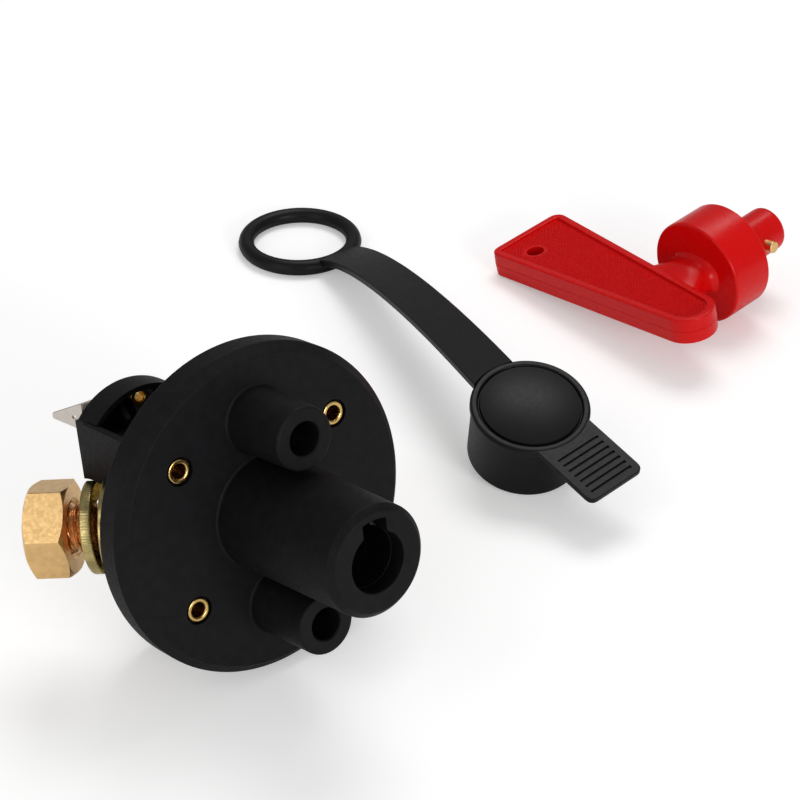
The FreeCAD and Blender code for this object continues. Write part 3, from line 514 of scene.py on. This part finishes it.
def makePlate(size):
    floor, wide, narrow = -housing["boxRear"], housing["boxHalfWidth"], housing["narrowHalfWidth"]
    back, core = floor - housing["plateDepth"], housing["coreHalfHeight"]
    high, low = housing["boxHalfHeight"], housing["wideLow"]
    lobes = [(-size["upperX"], size["upperY"], size["upperRadius"]),
             (size["upperX"], size["upperY"], size["upperRadius"]),
             (-size["lowerX"], size["lowerLeftY"], size["lowerRadius"]),
             (size["lowerX"], size["lowerRightY"], size["lowerRadius"])]
    tall = size["hoodFront"] - back
    rods = [rodMesh((x, y, back), radius, tall, steps=160) for x, y, radius in lobes]
    made = meshObject("rear_plate_skin", rods[0])
    shapeWith(made, rods[1:], "UNION")
    top = floor - size["contactGap"]
    hollows = [rodMesh((x, y, top), radius - size["lobeWall"], tall, steps=160) for x, y, radius in lobes]
    hollows.append(blockMesh((-40, -core - 0.15, top), (40, high + 0.15, 0)))
    shapeWith(made, hollows, "DIFFERENCE")
    shapeWith(made, [blockMesh((-wide, low, back), (wide, high, top)),
                     blockMesh((-narrow, -core, back), (narrow, low + 1, top))], "UNION")
    shapeWith(made, [blockMesh((-50, -40, -30), (-wide, 40, 0)), blockMesh((wide, -40, -30), (50, 40, 0))],
              "DIFFERENCE")
    ribs = []
    for across, up in cornerSigns:
        crest, x = (high - 0.6, size["upperRib"]) if up > 0 else (core + 2.2, size["lowerRib"])
        line = [((core + 0.2) * up, floor - 0.5), ((crest + 3.8) * up, floor - 0.5),
                ((crest + 3.8) * up, floor + 0.2), (crest * up, size["hoodFront"] + 0.2),
                ((core + 0.2) * up, size["hoodFront"] + 0.2)]
        ribs.append(skin([[Vector((x * across + half, y, z)) for y, z in line]
                          for half in (-size["ribWidth"] / 2, size["ribWidth"] / 2)]))
    shapeWith(made, ribs, "UNION")
    holes = []
    for place in terminalPlace.values():
        local = localPlace(place)
        holes.append(rodMesh((0, 0, -14), housing["towerRadius"] + 0.15, 14.5, local))
        holes.extend(washerRoom(local))
    for across, up in cornerSigns:
        spot = (housing["rivetX"] * across, housing["rivetY"] * up)
        holes.append(rodMesh((*spot, back - 1), housing["rivetRadius"], 10, steps=48))
        holes.append(rodMesh((*spot, back - 1), size["tailRoom"], 1.9, steps=48))
        holes.append(rodMesh((*eyeletSpot(across, up), back - 1), eyelet["hole"], 8, steps=48))
        holes.append(prism(stripLine(across, up, 0.1), floor - stripDepth, floor + 0.01))
    for sign in (-1, 1):
        holes.append(rodMesh((0, housing["bossOffset"] * sign, back - 1), housing["screwHole"], 12))
    shapeWith(made, holes, "DIFFERENCE")
    dress(made, nylon, "switch", ["rear_plate"], sharp=30, place=switchPlace)


def makeStrips():
    floor = -housing["boxRear"] - plate["contactGap"]
    strips = [prism(stripLine(*signs, 0), floor - stripDepth, floor) for signs in cornerSigns]
    made = meshObject("aux_strips_skin", strips[0])
    shapeWith(made, strips[1:], "UNION")
    holes = [rodMesh((*eyeletSpot(*signs), floor - 2), eyelet["hole"], 4, steps=48) for signs in cornerSigns]
    shapeWith(made, holes, "DIFFERENCE")
    dress(made, tin, "switch", ["aux_strips"], place=switchPlace)


def makeTag(name, across, up, size):
    back = -housing["boxRear"] - housing["plateDepth"]
    row = "upper" if up > 0 else "lower"
    x, y = eyeletSpot(across, up)
    centre = size["upperY"] if up > 0 else -eyelet["lowerY"]
    half, tip, sheet = size["width"] / 2, size["tipWidth"] / 2, size["sheet"]
    bendX, bend = size[row + "BendX"], math.radians(size[row + "Bend"])
    near, far = sorted((size[row + "Inner"] * across, bendX * across))
    made = meshObject(name, blockMesh((near, centre - half, back - sheet), (far, centre + half, back)))
    outward = Vector((math.cos(bend) * across, 0, -math.sin(bend)))
    facing = Vector((math.sin(bend) * across, 0, math.cos(bend)))
    turned = (Matrix.Translation((bendX * across, centre, back - sheet))
              @ Matrix((outward, facing.cross(outward), facing)).transposed().to_4x4())
    mitre = -sheet * math.tan(bend / 2)
    blade = prism([(mitre, -half), (0, -half), (size["reach"], -tip), (size["reach"], tip), (0, half),
                   (mitre, half)], 0, sheet)
    blade.transform(turned)
    shapeWith(made, [blade], "UNION")
    shapeWith(made, [rodMesh((size["holeSpot"], 0, -1), size["hole"], 3, turned, steps=32),
                     rodMesh((x, y, back - 3), eyelet["hole"], 6, steps=48)], "DIFFERENCE")
    breakEdges(made, size["edge"])
    dress(made, tin, "switch", [name.replace("_skin", "")], place=switchPlace)


makePlate(plate)
makeStrips()
for label, signs in zip(("upper_left", "upper_right", "lower_left", "lower_right"), cornerSigns):
    makeTag("tag_" + label + "_skin", *signs, tag)
print("rear plate, strips and tags made")

# the rotor: the barrel that the key turns, open at the top
rotor = {"radius": 8.42, "top": 30.4, "bottom": 8.0, "socket": 5.93, "floor": 9.8, "slotHalf": 1.75,
         "slotLow": 15.4, "toothSpot": 6.4, "toothLow": 4.0, "toothHalfWidth": 1.4, "toothHalfDepth": 1.25}


def makeRotor(size):
    profile = roundedLine([
        (0.01, size["bottom"]), (size["radius"], size["bottom"], 0.4), (size["radius"], size["top"], 0.3),
        (size["socket"], size["top"], 0.1), (size["socket"], size["floor"], 0.3), (0.01, size["floor"])],
        closed=True)
    made = meshObject("rotor_skin", lathe(profile, 192))
    half, deep = size["toothHalfWidth"], size["toothHalfDepth"]
    teeth = [blockMesh((-half, spot - deep, size["toothLow"]), (half, spot + deep, size["bottom"] + 1),
                       corner=0.2) for spot in (-size["toothSpot"], size["toothSpot"])]
    shapeWith(made, teeth, "UNION")
    slot = blockMesh((-size["slotHalf"], 0, size["slotLow"]), (size["slotHalf"], 12, 40))
    shapeWith(made, [slot], "DIFFERENCE")
    dress(made, boreNylon, "rotor", ["rotor"], place=switchPlace)


makeRotor(rotor)

# hollow rivets and eyelets
rivet = {"bore": 1.45, "lip": 2.6, "shank": 2.13, "top": -0.2, "seat": -1.3, "tail": 2.48}


def joined(parts, spots):
    # one mesh of several, each moved to its spot in the switch's XY plane
    whole = bmesh.new()
    for part, spot in zip(parts, spots):
        part.transform(Matrix.Translation((*spot, 0)))
        data = bpy.data.meshes.new("part")
        part.to_mesh(data)
        part.free()
        whole.from_mesh(data)
        bpy.data.meshes.remove(data)
    return whole


def makeRivets(size):
    back = -housing["boxRear"] - housing["plateDepth"]
    profile = roundedLine([
        (size["bore"], size["top"] - 0.9, 0.1), (size["bore"] + 0.1, size["top"], 0.4),
        (size["lip"] - 0.25, size["top"], 0.35), (size["lip"], size["seat"], 0.1),
        (size["shank"], size["seat"]), (size["shank"], back + 0.9), (size["tail"], back + 0.9, 0.15),
        (size["tail"] - 0.2, back + 0.2, 0.3), (size["bore"], back + 0.2, 0.3)], closed=True, turns=6)
    spots = [(housing["rivetX"] * across, housing["rivetY"] * up) for across, up in cornerSigns]
    made = meshObject("front_rivets_skin", joined([lathe(profile, 64) for spot in spots], spots), switchPlace)
    dress(made, rivetBrass, "switch", ["front_rivets"], sharp=50)


def makeEyelets(size):
    floor = -housing["boxRear"]
    back, top = floor - housing["plateDepth"] - tag["sheet"], floor + size["rise"]
    spots = [eyeletSpot(*signs) for signs in cornerSigns]
    profile = roundedLine([
        (size["bore"], floor - 0.3), (size["bore"], top, 0.4), (size["rim"], top, 0.45),
        (size["rim"], floor + 0.02, 0.1), (size["shank"], floor + 0.02), (size["shank"], back),
        (size["rim"], back, 0.2), (size["rim"], back - 0.55, 0.3), (size["bore"], back - 0.55, 0.3)],
        closed=True, turns=6)
    made = meshObject("tag_eyelets_skin", joined([lathe(profile, 48) for spot in spots], spots), switchPlace)
    dress(made, rivetBrass, "switch", ["tag_eyelets"], sharp=50)


makeRivets(rivet)
makeEyelets(eyelet)

# studs, washers and nuts
stud = {"radius": 5.0, "pitch": 1.5, "threadDepth": 0.75, "length": 18.35, "start": 1.0, "inner": -16.0,
        "chamfer": 0.9, "contactLevel": -10.43, "steps": 72, "rows": 10}
washer = {"outer": 10.0, "depth": 2.0, "hole": 5.15}
coil = {"outer": 9.05, "inner": 5.2, "depth": 2.2, "low": 2.05, "rise": 1.95, "splitTurn": -75.0, "gap": 4.0}
nut = {"low": 9.05, "depth": 8.0, "acrossFlats": 17.0, "chamferOut": 8.15, "chamferIn": 8.6, "slope": 30,
       "turn": 9, "bore": 5.02, "mouth": 5.9, "mouthDepth": 0.8}


def threadHeight(radius, height, turn, size):
    wave = (height / size["pitch"] - turn / math.tau) % 1.0
    return radius - size["threadDepth"] * min(1.0, abs(wave - 0.5) * 2.4)


def makeStud(side, size):
    # threaded rings above the start, on a plain shank with the collar that the housing holds
    rings = []
    steps, radius, start = size["steps"], size["radius"], size["start"]
    spots = [(start - 0.01, radius)]
    level = start
    while level < size["length"]:
        spots.append((level, None))
        level += size["pitch"] / size["rows"]
    spots.append((size["length"], None))
    for height, fixed in spots:
        limit = radius - max(0.0, height - (size["length"] - size["chamfer"]))
        row = []
        for step in range(steps):
            turn = math.tau * step / steps
            r = fixed if fixed is not None else min(limit, threadHeight(radius, height, turn, size))
            row.append(Vector((r * math.cos(turn), r * math.sin(turn), height)))
        rings.append(row)
    made = meshObject("stud_%s_thread" % side, skin(rings))
    low, high, collar = housing["collarLow"], housing["collarLow"] + housing["collarDepth"], housing["collar"]
    shank = [(0.001, size["inner"]), (radius, size["inner"]), (radius, low), (collar, low), (collar, high),
             (radius, high), (radius, start), (0.001, start)]
    shapeWith(made, [lathe(roundedLine(shank, closed=True), steps)], "UNION")
    local = localPlace(terminalPlace[side])
    cut = blockMesh((-60, -40, size["contactLevel"]), (60, 40, 30), local.inverted())
    shapeWith(made, [cut], "DIFFERENCE")
    dress(made, copper, "switch", ["stud_" + side], sharp=50, place=terminalPlace[side])


def makeFlatWasher(side, size):
    profile = roundedLine([
        (size["hole"], 0, 0.15), (size["outer"], 0, 0.3), (size["outer"], size["depth"], 0.35),
        (size["hole"], size["depth"], 0.15)], closed=True)
    made = meshObject("flat_washer_%s_skin" % side, lathe(profile, 128), terminalPlace[side])
    dress(made, zinc, "switch", ["flat_washer_" + side], sharp=50)


def makeSpringWasher(side, size):
    # one turn of square wire that climbs, with fine drawn ridges along its outer face
    section = roundedLine([
        (size["inner"], 0, 0.25), (size["outer"], 0, 0.4), (size["outer"], size["depth"], 0.4),
        (size["inner"], size["depth"], 0.25)], closed=True, turns=4)
    rings = []
    steps = 420
    first = math.radians(size["splitTurn"] + size["gap"] / 2)
    sweep = math.radians(360 - size["gap"])
    for step in range(steps + 1):
        part = step / steps
        turn = first + sweep * part
        wear = noise(Vector((math.cos(turn) * 4, math.sin(turn) * 4, 1.7)))
        ridge = -0.07 * max(0.0, 0.5 + wear) * (step % 4 in (1, 2))
        lift = size["low"] + size["rise"] * part
        row = [(r + (ridge if r > 8 else 0), z + lift) for r, z in section]
        rings.append([Vector((r * math.cos(turn), r * math.sin(turn), z)) for r, z in row])
    made = meshObject("spring_washer_%s_skin" % side, skin(rings), terminalPlace[side])
    dress(made, zinc, "switch", ["spring_washer_" + side], sharp=45)


def makeNut(side, size):
    corner = size["acrossFlats"] / math.sqrt(3)
    low, high = size["low"], size["low"] + size["depth"]
    hexagon = []
    for level in (low, high):
        turns = [math.radians(60 * step + size["turn"]) for step in range(6)]
        line = roundedLine([(corner * math.cos(turn), corner * math.sin(turn), 0.35) for turn in turns],
                           closed=True, turns=3)
        hexagon.append([Vector((x, y, level)) for x, y in line])
    made = meshObject("nut_%s_skin" % side, skin(hexagon))
    slope = math.tan(math.radians(size["slope"]))
    reach = corner + 0.6
    turned = [(0.01, low), (size["chamferIn"], low, 0.15), (reach, low + (reach - size["chamferIn"]) * slope),
              (reach, high - (reach - size["chamferOut"]) * slope), (size["chamferOut"], high, 0.2),
              (0.01, high)]
    shapeWith(made, [lathe(roundedLine(turned, closed=True), 128)], "INTERSECT")
    bore, mouth, deep = size["bore"], size["mouth"], size["mouthDepth"]
    hole = roundedLine([(0.01, low - 1), (mouth, low - 1), (mouth, low - 0.001), (bore, low + deep),
                        (bore, high - deep), (mouth, high + 0.001), (mouth, high + 1), (0.01, high + 1)],
                       closed=True)
    shapeWith(made, [lathe(hole, 96)], "DIFFERENCE")
    dress(made, nutBrass, "switch", ["nut_" + side], sharp=25, place=terminalPlace[side],
          ownFrame=True)


for side in terminalPlace:
    makeStud(side, stud)
    makeFlatWasher(side, washer)
    makeSpringWasher(side, coil)
    makeNut(side, nut)
print("terminals made")

# return spring
springSize = {"radius": 5.3, "wire": 0.55, "low": -20.8, "high": -5.4, "turns": 5.0, "travel": 4.0}


def makeReturnSpring(size):
    rings = []
    steps = int(size["turns"] * 36)
    for step in range(steps + 1):
        part = step / steps
        turn = math.tau * size["turns"] * part
        level = size["low"] + size["wire"] + (size["high"] - size["low"] - 2 * size["wire"]) * part
        out = Vector((math.cos(turn), math.sin(turn), 0))
        middle = out * size["radius"] + Vector((0, 0, level))
        row = []
        for side in range(10):
            angle = math.tau * side / 10
            row.append(middle + (out * math.cos(angle) + Vector((0, 0, math.sin(angle)))) * size["wire"])
        rings.append(row)
    made = meshObject("return_spring_wire", skin(rings), switchPlace)
    dress(made, steel, "switch", ["return_spring"], sharp=60, weighted=False)
    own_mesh(made)


makeReturnSpring(springSize)

# key
key = {
    "hubRadius": 13.4, "hubLength": 11.7, "web": 2.7, "skirtBore": 11.75, "shaftRadius": 5.75,
    "shaftTip": 26.9, "pinRadius": 1.5, "pinZ": 19.5, "pinReach": 8.2, "pinInner": -4.3, "halfDepth": 3.3,
    "front": -23.4, "end": 49.7, "endRear": 1.3,
    "noseX": -13.1, "noseRadius": 6.7, "cornerRadius": 2.8, "rim": 2.0, "recess": 0.9, "holeX": 40.4,
    "holeZ": -15.9, "holeRadius": 2.25, "knurlPitch": 1.06, "knurlHeight": 0.34, "edge": 0.45, "draft": 0.10,
    "knurlFoot": 0.46, "knurlTip": 0.16, "seam": 0.05, "neckSquare": 0.85,
}
# the neck's sections by their level: low edge, high edge and half depth
neck = {-15: (-7.6, 13.5, 1.9), -9: (-7.4, 12.6, 2.2), -7.6: (-7.1, 12.4, 2.7), -6.6: (-6.9, 12.0, 3.1),
        -5.6: (-6.7, 10.6, 3.5), -4.6: (-6.5, 9.2, 3.85), -3.6: (-6.4, 8.1, 4.1), -2.6: (-6.4, 7.4, 4.2),
        -1.6: (-6.5, 7.2, 4.35), -0.9: (-6.8, 7.4, 4.65), -0.4: (-7.2, 7.8, 5.0), 0.6: (-7.9, 8.5, 5.7)}


def paddleLine(size, inset):
    # the paddle's outline in (x, z), each point pushed in by inset
    radius, front = size["noseRadius"] - inset, size["front"] + inset
    noseZ = size["front"] + size["noseRadius"]
    away = Vector((size["end"] - size["noseX"], size["endRear"] - noseZ))
    slant = math.atan2(away.y, away.x) - math.asin(size["noseRadius"] / away.length)
    end = size["end"] - inset
    rear = size["endRear"] - inset * math.tan(slant) - inset / math.cos(slant)
    corner = max(0.3, size["cornerRadius"] - inset)
    line = []
    for spot, first, last in (((end - corner, front + corner), -90, 0),
                              ((end - corner, rear - corner * 1.15), 0, 90 + math.degrees(slant))):
        for step in range(9):
            turn = math.radians(first + (last - first) * step / 8)
            line.append(Vector((spot[0] + corner * math.cos(turn), spot[1] + corner * math.sin(turn))))
    for step in range(25):
        turn = math.radians(90) + slant + (math.radians(180) - slant) * step / 24
        line.append(Vector((size["noseX"] + radius * math.cos(turn), noseZ + radius * math.sin(turn))))
    return line


def insidePaddle(size, x, z, inset):
    line = paddleLine(size, inset)
    for index in range(len(line)):
        here, there = line[index - 1], line[index]
        if (there.x - here.x) * (z - here.y) - (there.y - here.y) * (x - here.x) < 0:
            return False
    return True


def makePaddle(size):
    deep, edge, draft = size["halfDepth"], size["edge"], size["draft"]
    floor = deep - size["recess"]
    side = [(0.0, 0.10), (0.10, 0.0), (deep - edge, draft)]
    for step in range(1, 6):
        turn = math.radians(90 * step / 5)
        side.append((deep - edge + edge * math.sin(turn), draft + edge * (1 - math.cos(turn))))
    side.append((deep, size["rim"] - 0.25))
    side.append((deep - 0.10, size["rim"] - 0.05))
    side.append((floor + 0.12, size["rim"] + 0.05))
    side.append((floor, size["rim"] + 0.2))
    rings = []
    for level, inset in reversed(side):
        rings.append([Vector((x, -level, z)) for x, z in paddleLine(size, inset)])
    for level, inset in side[1:]:
        rings.append([Vector((x, level, z)) for x, z in paddleLine(size, inset)])
    made = meshObject("key_paddle", skin(rings))
    turned = Matrix.Translation((size["holeX"], 0, size["holeZ"])) @ Matrix.Rotation(math.radians(90), 4, "X")
    hole = rodMesh((0, 0, -10), size["holeRadius"], 20, turned, steps=48)
    return shapeWith(made, [hole], "DIFFERENCE")


def makeKnurl(size):
    # rows of small pyramids on both recess floors
    mesh = bmesh.new()
    pitch, floor = size["knurlPitch"], size["halfDepth"] - size["recess"]
    half, point = pitch * size["knurlFoot"], size["knurlTip"]
    diamond = ((1, 0), (0, 1), (-1, 0), (0, -1))
    rows = int((size["endRear"] - size["front"]) / (pitch / 2)) + 2
    columns = int((size["end"] - size["noseX"] + size["noseRadius"]) / pitch) + 2
    for row in range(rows):
        for column in range(columns):
            x = size["end"] - 3 - pitch * (column + 0.5 * (row % 2))
            z = size["front"] + 2.8 + row * pitch / 2
            if not insidePaddle(size, x, z, size["rim"] + 0.25 + half):
                continue
            if math.hypot(x - size["holeX"], z - size["holeZ"]) < size["holeRadius"] + half + 0.25:
                continue
            for sign in (-1, 1):
                foot, tip = sign * (floor - 0.02), sign * (floor + size["knurlHeight"])
                base = [mesh.verts.new((x + a * half, foot, z + b * half)) for a, b in diamond]
                top = [mesh.verts.new((x + a * half * point, tip, z + b * half * point)) for a, b in diamond]
                for index in range(4):
                    after = (index + 1) % 4
                    mesh.faces.new((base[index], base[after], top[after], top[index]))
                mesh.faces.new(top)
                mesh.faces.new(base)
    return meshObject("key_knurl", mesh, keyPlace)


def makeKeyBody(size):
    hub = roundedLine([
        (0.01, 0), (size["hubRadius"], 0, 0.7), (size["hubRadius"], size["hubLength"], 0.6),
        (size["skirtBore"], size["hubLength"], 0.25), (size["skirtBore"], size["web"], 0.6),
        (size["shaftRadius"], size["web"], 0.6), (size["shaftRadius"], size["shaftTip"], 1.6),
        (0.01, size["shaftTip"])], closed=True, turns=7)
    made = meshObject("key_skin", lathe(hub, 160))
    shapeWith(made, [makePaddle(size)], "UNION")
    rings, square = [], size["neckSquare"]
    for level, (low, high, deep) in neck.items():
        row = []
        for step in range(48):
            turn = math.tau * step / 48
            c, s = math.cos(turn), math.sin(turn)
            row.append(Vector(((low + high) / 2 + (high - low) / 2 * math.copysign(abs(c) ** square, c),
                               deep * math.copysign(abs(s) ** square, s), level)))
        rings.append(row)
    seams = [blockMesh((low, -size["seam"], -size["seam"]), (high, size["seam"], 0.3))
             for low, high in ((-size["hubRadius"] + 0.6, -8.2), (8.8, size["hubRadius"] - 0.6))]
    shapeWith(made, [skin(rings), *seams], "UNION")
    turned = Matrix.Translation((0, 0, size["pinZ"])) @ Matrix.Rotation(math.radians(-90), 4, "Y")
    shapeWith(made, [rodMesh((0, 0, -4), size["pinRadius"] + 0.03, 20, turned, steps=40)], "DIFFERENCE")
    dress(made, red, "key", ["key"], sharp=28, place=keyPlace)
    knurl = makeKnurl(size)
    dress(knurl, red, "key", sharp=15, weighted=False)
    pin = roundedLine([(0.001, size["pinInner"]), (size["pinRadius"], size["pinInner"]),
                       (size["pinRadius"], size["pinReach"], 0.3), (0.001, size["pinReach"])], closed=True)
    made = meshObject("key_pin_skin", lathe(pin, 48))
    dress(made, nutBrass, "key", ["key_pin"], sharp=50, place=keyPlace @ turned)


makeKeyBody(key)
print("key made")

# rubber cap with its tab
cap = {
    "rim": 13.24, "skirt": 12.76, "bore": 11.25, "height": 15.7, "sheet": 1.5, "groove": 11.5,
    "domeRise": 1.7, "tabWidth": 15.2, "tabRoot": 9.0, "tabMiddle": 19.5, "tabReach": 27.9, "tabTurn": -50.4,
    "grooveFirst": 15.4, "groovePitch": 1.73, "grooves": 7, "grooveLength": 11.6,
}


def makeCap(size):
    thick, ledge = size["sheet"], size["groove"]
    crown = []
    for step in range(17):
        part = step / 16
        crown.append((max(0.01, (ledge - 0.45) * (1 - part)), size["domeRise"] * (1 - (1 - part) ** 2) + 0.1))
    outer = roundedLine([
        (size["bore"], -size["height"], 0.2), (size["skirt"], -size["height"], 0.5),
        (size["skirt"], -thick - 0.1, 0.25), (size["rim"], -thick - 0.1, 0.3), (size["rim"], 0, 0.75),
        (ledge + 0.15, 0, 0.65), (ledge - 0.05, -0.75, 0.15), (ledge - 0.35, -0.7, 0.15), *crown,
        (0.01, -thick - 0.4), (size["bore"], -thick - 0.4, 0.6)],
        closed=True, turns=6)
    made = meshObject("cap_skin", lathe(outer, 192))
    half, root, reach = size["tabWidth"] / 2, size["tabRoot"], size["tabReach"]
    turned = Matrix.Rotation(math.radians(size["tabTurn"]), 4, "Z")
    line = roundedLine([(root, -half), (reach, -half, 2.0), (reach, half, 2.0), (root, half)], closed=True,
                       turns=8)
    middle = Vector((size["tabMiddle"], 0))
    levels = ((-thick, 0.25), (-thick + 0.25, 0.0), (-0.38, 0.0), (-0.18, 0.10), (-0.1, 0.3))
    rings = []
    for level, shrink in levels:  # the tab's edges draw in towards its two faces
        rings.append([Vector((*(middle + (spot - middle) * (1 - shrink / 9)), level)) for spot in line])
    tab = meshObject("tool", skin(rings))
    grooves = []
    for step in range(size["grooves"]):
        across = size["grooveFirst"] + size["groovePitch"] * step
        groove = skin([[Vector((across + x, y, z)) for x, z in ((-0.36, 0.3), (-0.34, -0.10), (-0.14, -0.55),
                                                               (0.14, -0.55), (0.34, -0.10), (0.36, 0.3))]
                       for y in (-size["grooveLength"] / 2, size["grooveLength"] / 2)])
        grooves.append(groove)
    inside = rodMesh((0, 0, -5), size["rim"] - 0.8, 10, steps=96)
    shapeWith(tab, [*grooves, inside], "DIFFERENCE")
    tab.data.transform(turned)
    shapeWith(made, [tab], "UNION")
    dress(made, rubber, "cap", ["cap"], sharp=35, place=capPlace)


makeCap(cap)

# ring
ring = {"radius": 14.03, "tube": 2.07, "flash": 0.06}


def makeRing(size):
    profile = []
    for step in range(48):
        turn = math.tau * step / 48
        tube = size["tube"] - (size["flash"] if step not in (0, 24) else 0)
        profile.append((size["radius"] + tube * math.cos(turn), tube * math.sin(turn)))
    made = meshObject("ring_skin", lathe(profile, 160), ringPlace)
    dress(made, rubber, "ring", ["ring"], sharp=60, weighted=False)


makeRing(ring)

# strap: one strip from the ring to the cap, swept along a curve
strap = {
    "start": (-28.45, 77.98, 3.1), "leave": (11.08, -12.62, 8.88), "arrive": (-3.23, 7.42, -0.40),
    "finish": (8.2, -5.1, 20.8), "width": 11.2, "sheet": 1.8, "edge": 0.35, "stations": 96, "runOn": 4.0,
    "bendFrom": 0.30, "bendTo": 0.70,
    "sideStart": (-0.752, -0.659, 0), "sideFinish": (-0.78, -0.61, -0.1),
}


def strapStation(size, part):
    start, finish = Vector(size["start"]), Vector(size["finish"])
    knots = [start, start + Vector(size["leave"]), finish + Vector(size["arrive"]), finish]
    rest = 1 - part
    centre = (knots[0] * rest ** 3 + knots[1] * 3 * rest * rest * part + knots[2] * 3 * rest * part * part
              + knots[3] * part ** 3)
    along = ((knots[1] - knots[0]) * rest * rest + (knots[2] - knots[1]) * 2 * rest * part
             + (knots[3] - knots[2]) * part * part).normalized()
    across = Vector(size["sideStart"]) * rest + Vector(size["sideFinish"]) * part
    across = (across - along * across.dot(along)).normalized()
    up = across.cross(along)
    return centre, along, across, up if up.z > 0 else -up


def makeStrap(size):
    half, thick = size["width"] / 2, size["sheet"] / 2
    corners = ((-half, -thick), (half, -thick), (half, thick), (-half, thick))
    section = roundedLine([(*corner, size["edge"]) for corner in corners], closed=True, turns=5)
    rings = []
    for step in range(size["stations"] + 1):
        centre, along, across, up = strapStation(size, step / size["stations"])
        rings.append([centre + across * a + up * b for a, b in section])
    rings.append([centre + along * size["runOn"] + across * a + up * b for a, b in section])
    made = meshObject("strap", skin(rings))
    post = rodMesh((0, 0, -10), cap["rim"] - 0.12, 20, Matrix.Scale(1 / mm, 4) @ capPlace, steps=128)
    shapeWith(made, [post], "DIFFERENCE")
    made.data.transform(Matrix.Scale(mm, 4))
    dress(made, rubber, None, ["strap_ring_side", "strap_cap_side"], sharp=40)
    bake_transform(made)


makeStrap(strap)
print("cap, strap and ring made")


# studio
studio = {
    "floorColor": 0.90, "floorGlow": 0.30, "worldPlain": 0.36, "worldShine": 0.26,
    "lamps": {
        "overhead": {"spot": (0.10, 0.42, 0.85), "aim": (0, 0, 0), "size": (0.55, 0.45), "power": 3.2},
        "left": {"spot": (-0.56, -0.70, 0.28), "aim": (-0.03, -0.05, 0.03), "size": (0.5, 0.35),
                 "power": 1.2},
        "upperLeft": {"spot": (-0.46, -0.42, 0.62), "aim": (-0.07, -0.07, 0.03), "size": (0.30, 0.25),
                      "power": 0.42},
        "front": {"spot": (0.52, -0.80, 0.30), "aim": (0, 0, 0.02), "size": (0.40, 0.35), "power": 3.8},
    },
}


def makeStudio(size):
    floor = bpy.data.meshes.new("floor")
    floor.from_pydata([(-6, -6, 0), (6, -6, 0), (6, 6, 0), (-6, 6, 0)], [], [(0, 1, 2, 3)])
    slab = bpy.data.objects.new("floor", floor)
    scene.collection.objects.link(slab)
    paper = bpy.data.materials.new("paper")
    paper.use_nodes = True
    tree = paper.node_tree
    shader = tree.nodes["Principled BSDF"]
    shader.inputs["Base Color"].default_value = (size["floorColor"],) * 3 + (1,)
    shader.inputs["Roughness"].default_value = 0.9
    shader.inputs["Specular IOR Level"].default_value = 0.1
    glow = tree.nodes.new("ShaderNodeEmission")
    glow.inputs["Color"].default_value = (1, 1, 1, 1)
    seen = tree.nodes.new("ShaderNodeLightPath").outputs["Is Camera Ray"]
    strength = tree.nodes.new("ShaderNodeMath")
    strength.operation = "MULTIPLY"
    strength.inputs[1].default_value = size["floorGlow"]
    both = tree.nodes.new("ShaderNodeAddShader")
    tree.links.new(seen, strength.inputs[0])
    tree.links.new(strength.outputs[0], glow.inputs["Strength"])
    tree.links.new(shader.outputs[0], both.inputs[0])
    tree.links.new(glow.outputs[0], both.inputs[1])
    tree.links.new(both.outputs[0], tree.nodes["Material Output"].inputs["Surface"])
    floor.materials.append(paper)

    world = bpy.data.worlds.new("studio")
    scene.world = world
    world.use_nodes = True
    tree = world.node_tree
    plain = tree.nodes["Background"]
    plain.inputs["Color"].default_value = (1, 1, 1, 1)
    path = tree.nodes.new("ShaderNodeLightPath")
    shine = tree.nodes.new("ShaderNodeMix")
    shine.inputs["A"].default_value = size["worldPlain"]
    shine.inputs["B"].default_value = size["worldShine"]
    tree.links.new(path.outputs["Is Glossy Ray"], shine.inputs["Factor"])
    whole = tree.nodes.new("ShaderNodeMix")
    whole.inputs["B"].default_value = 1.0
    tree.links.new(shine.outputs["Result"], whole.inputs["A"])
    tree.links.new(path.outputs["Is Camera Ray"], whole.inputs["Factor"])
    tree.links.new(whole.outputs["Result"], plain.inputs["Strength"])

    for name, lamp in size["lamps"].items():
        light = bpy.data.lights.new(name, "AREA")
        light.shape = "RECTANGLE"
        light.size, light.size_y = lamp["size"]
        light.energy = lamp["power"]
        hung = bpy.data.objects.new(name, light)
        hung.location = lamp["spot"]
        hung.rotation_euler = (Vector(lamp["spot"]) - Vector(lamp["aim"])).to_track_quat("Z", "Y").to_euler()
        scene.collection.objects.link(hung)


makeStudio(studio)
view = {"spot": (-0.0120, -0.40425, 0.278), "pitch": 33.5, "lens": 96.75}
camera = bpy.data.cameras.new("camera")
camera.lens = view["lens"]
camera.sensor_width = 36.0
camera.clip_start, camera.clip_end = 0.01, 50
eye = bpy.data.objects.new("camera", camera)
eye.location = view["spot"]
eye.rotation_euler = (math.radians(90 - view["pitch"]), 0, 0)
scene.collection.objects.link(eye)
scene.camera = eye
print("studio made")
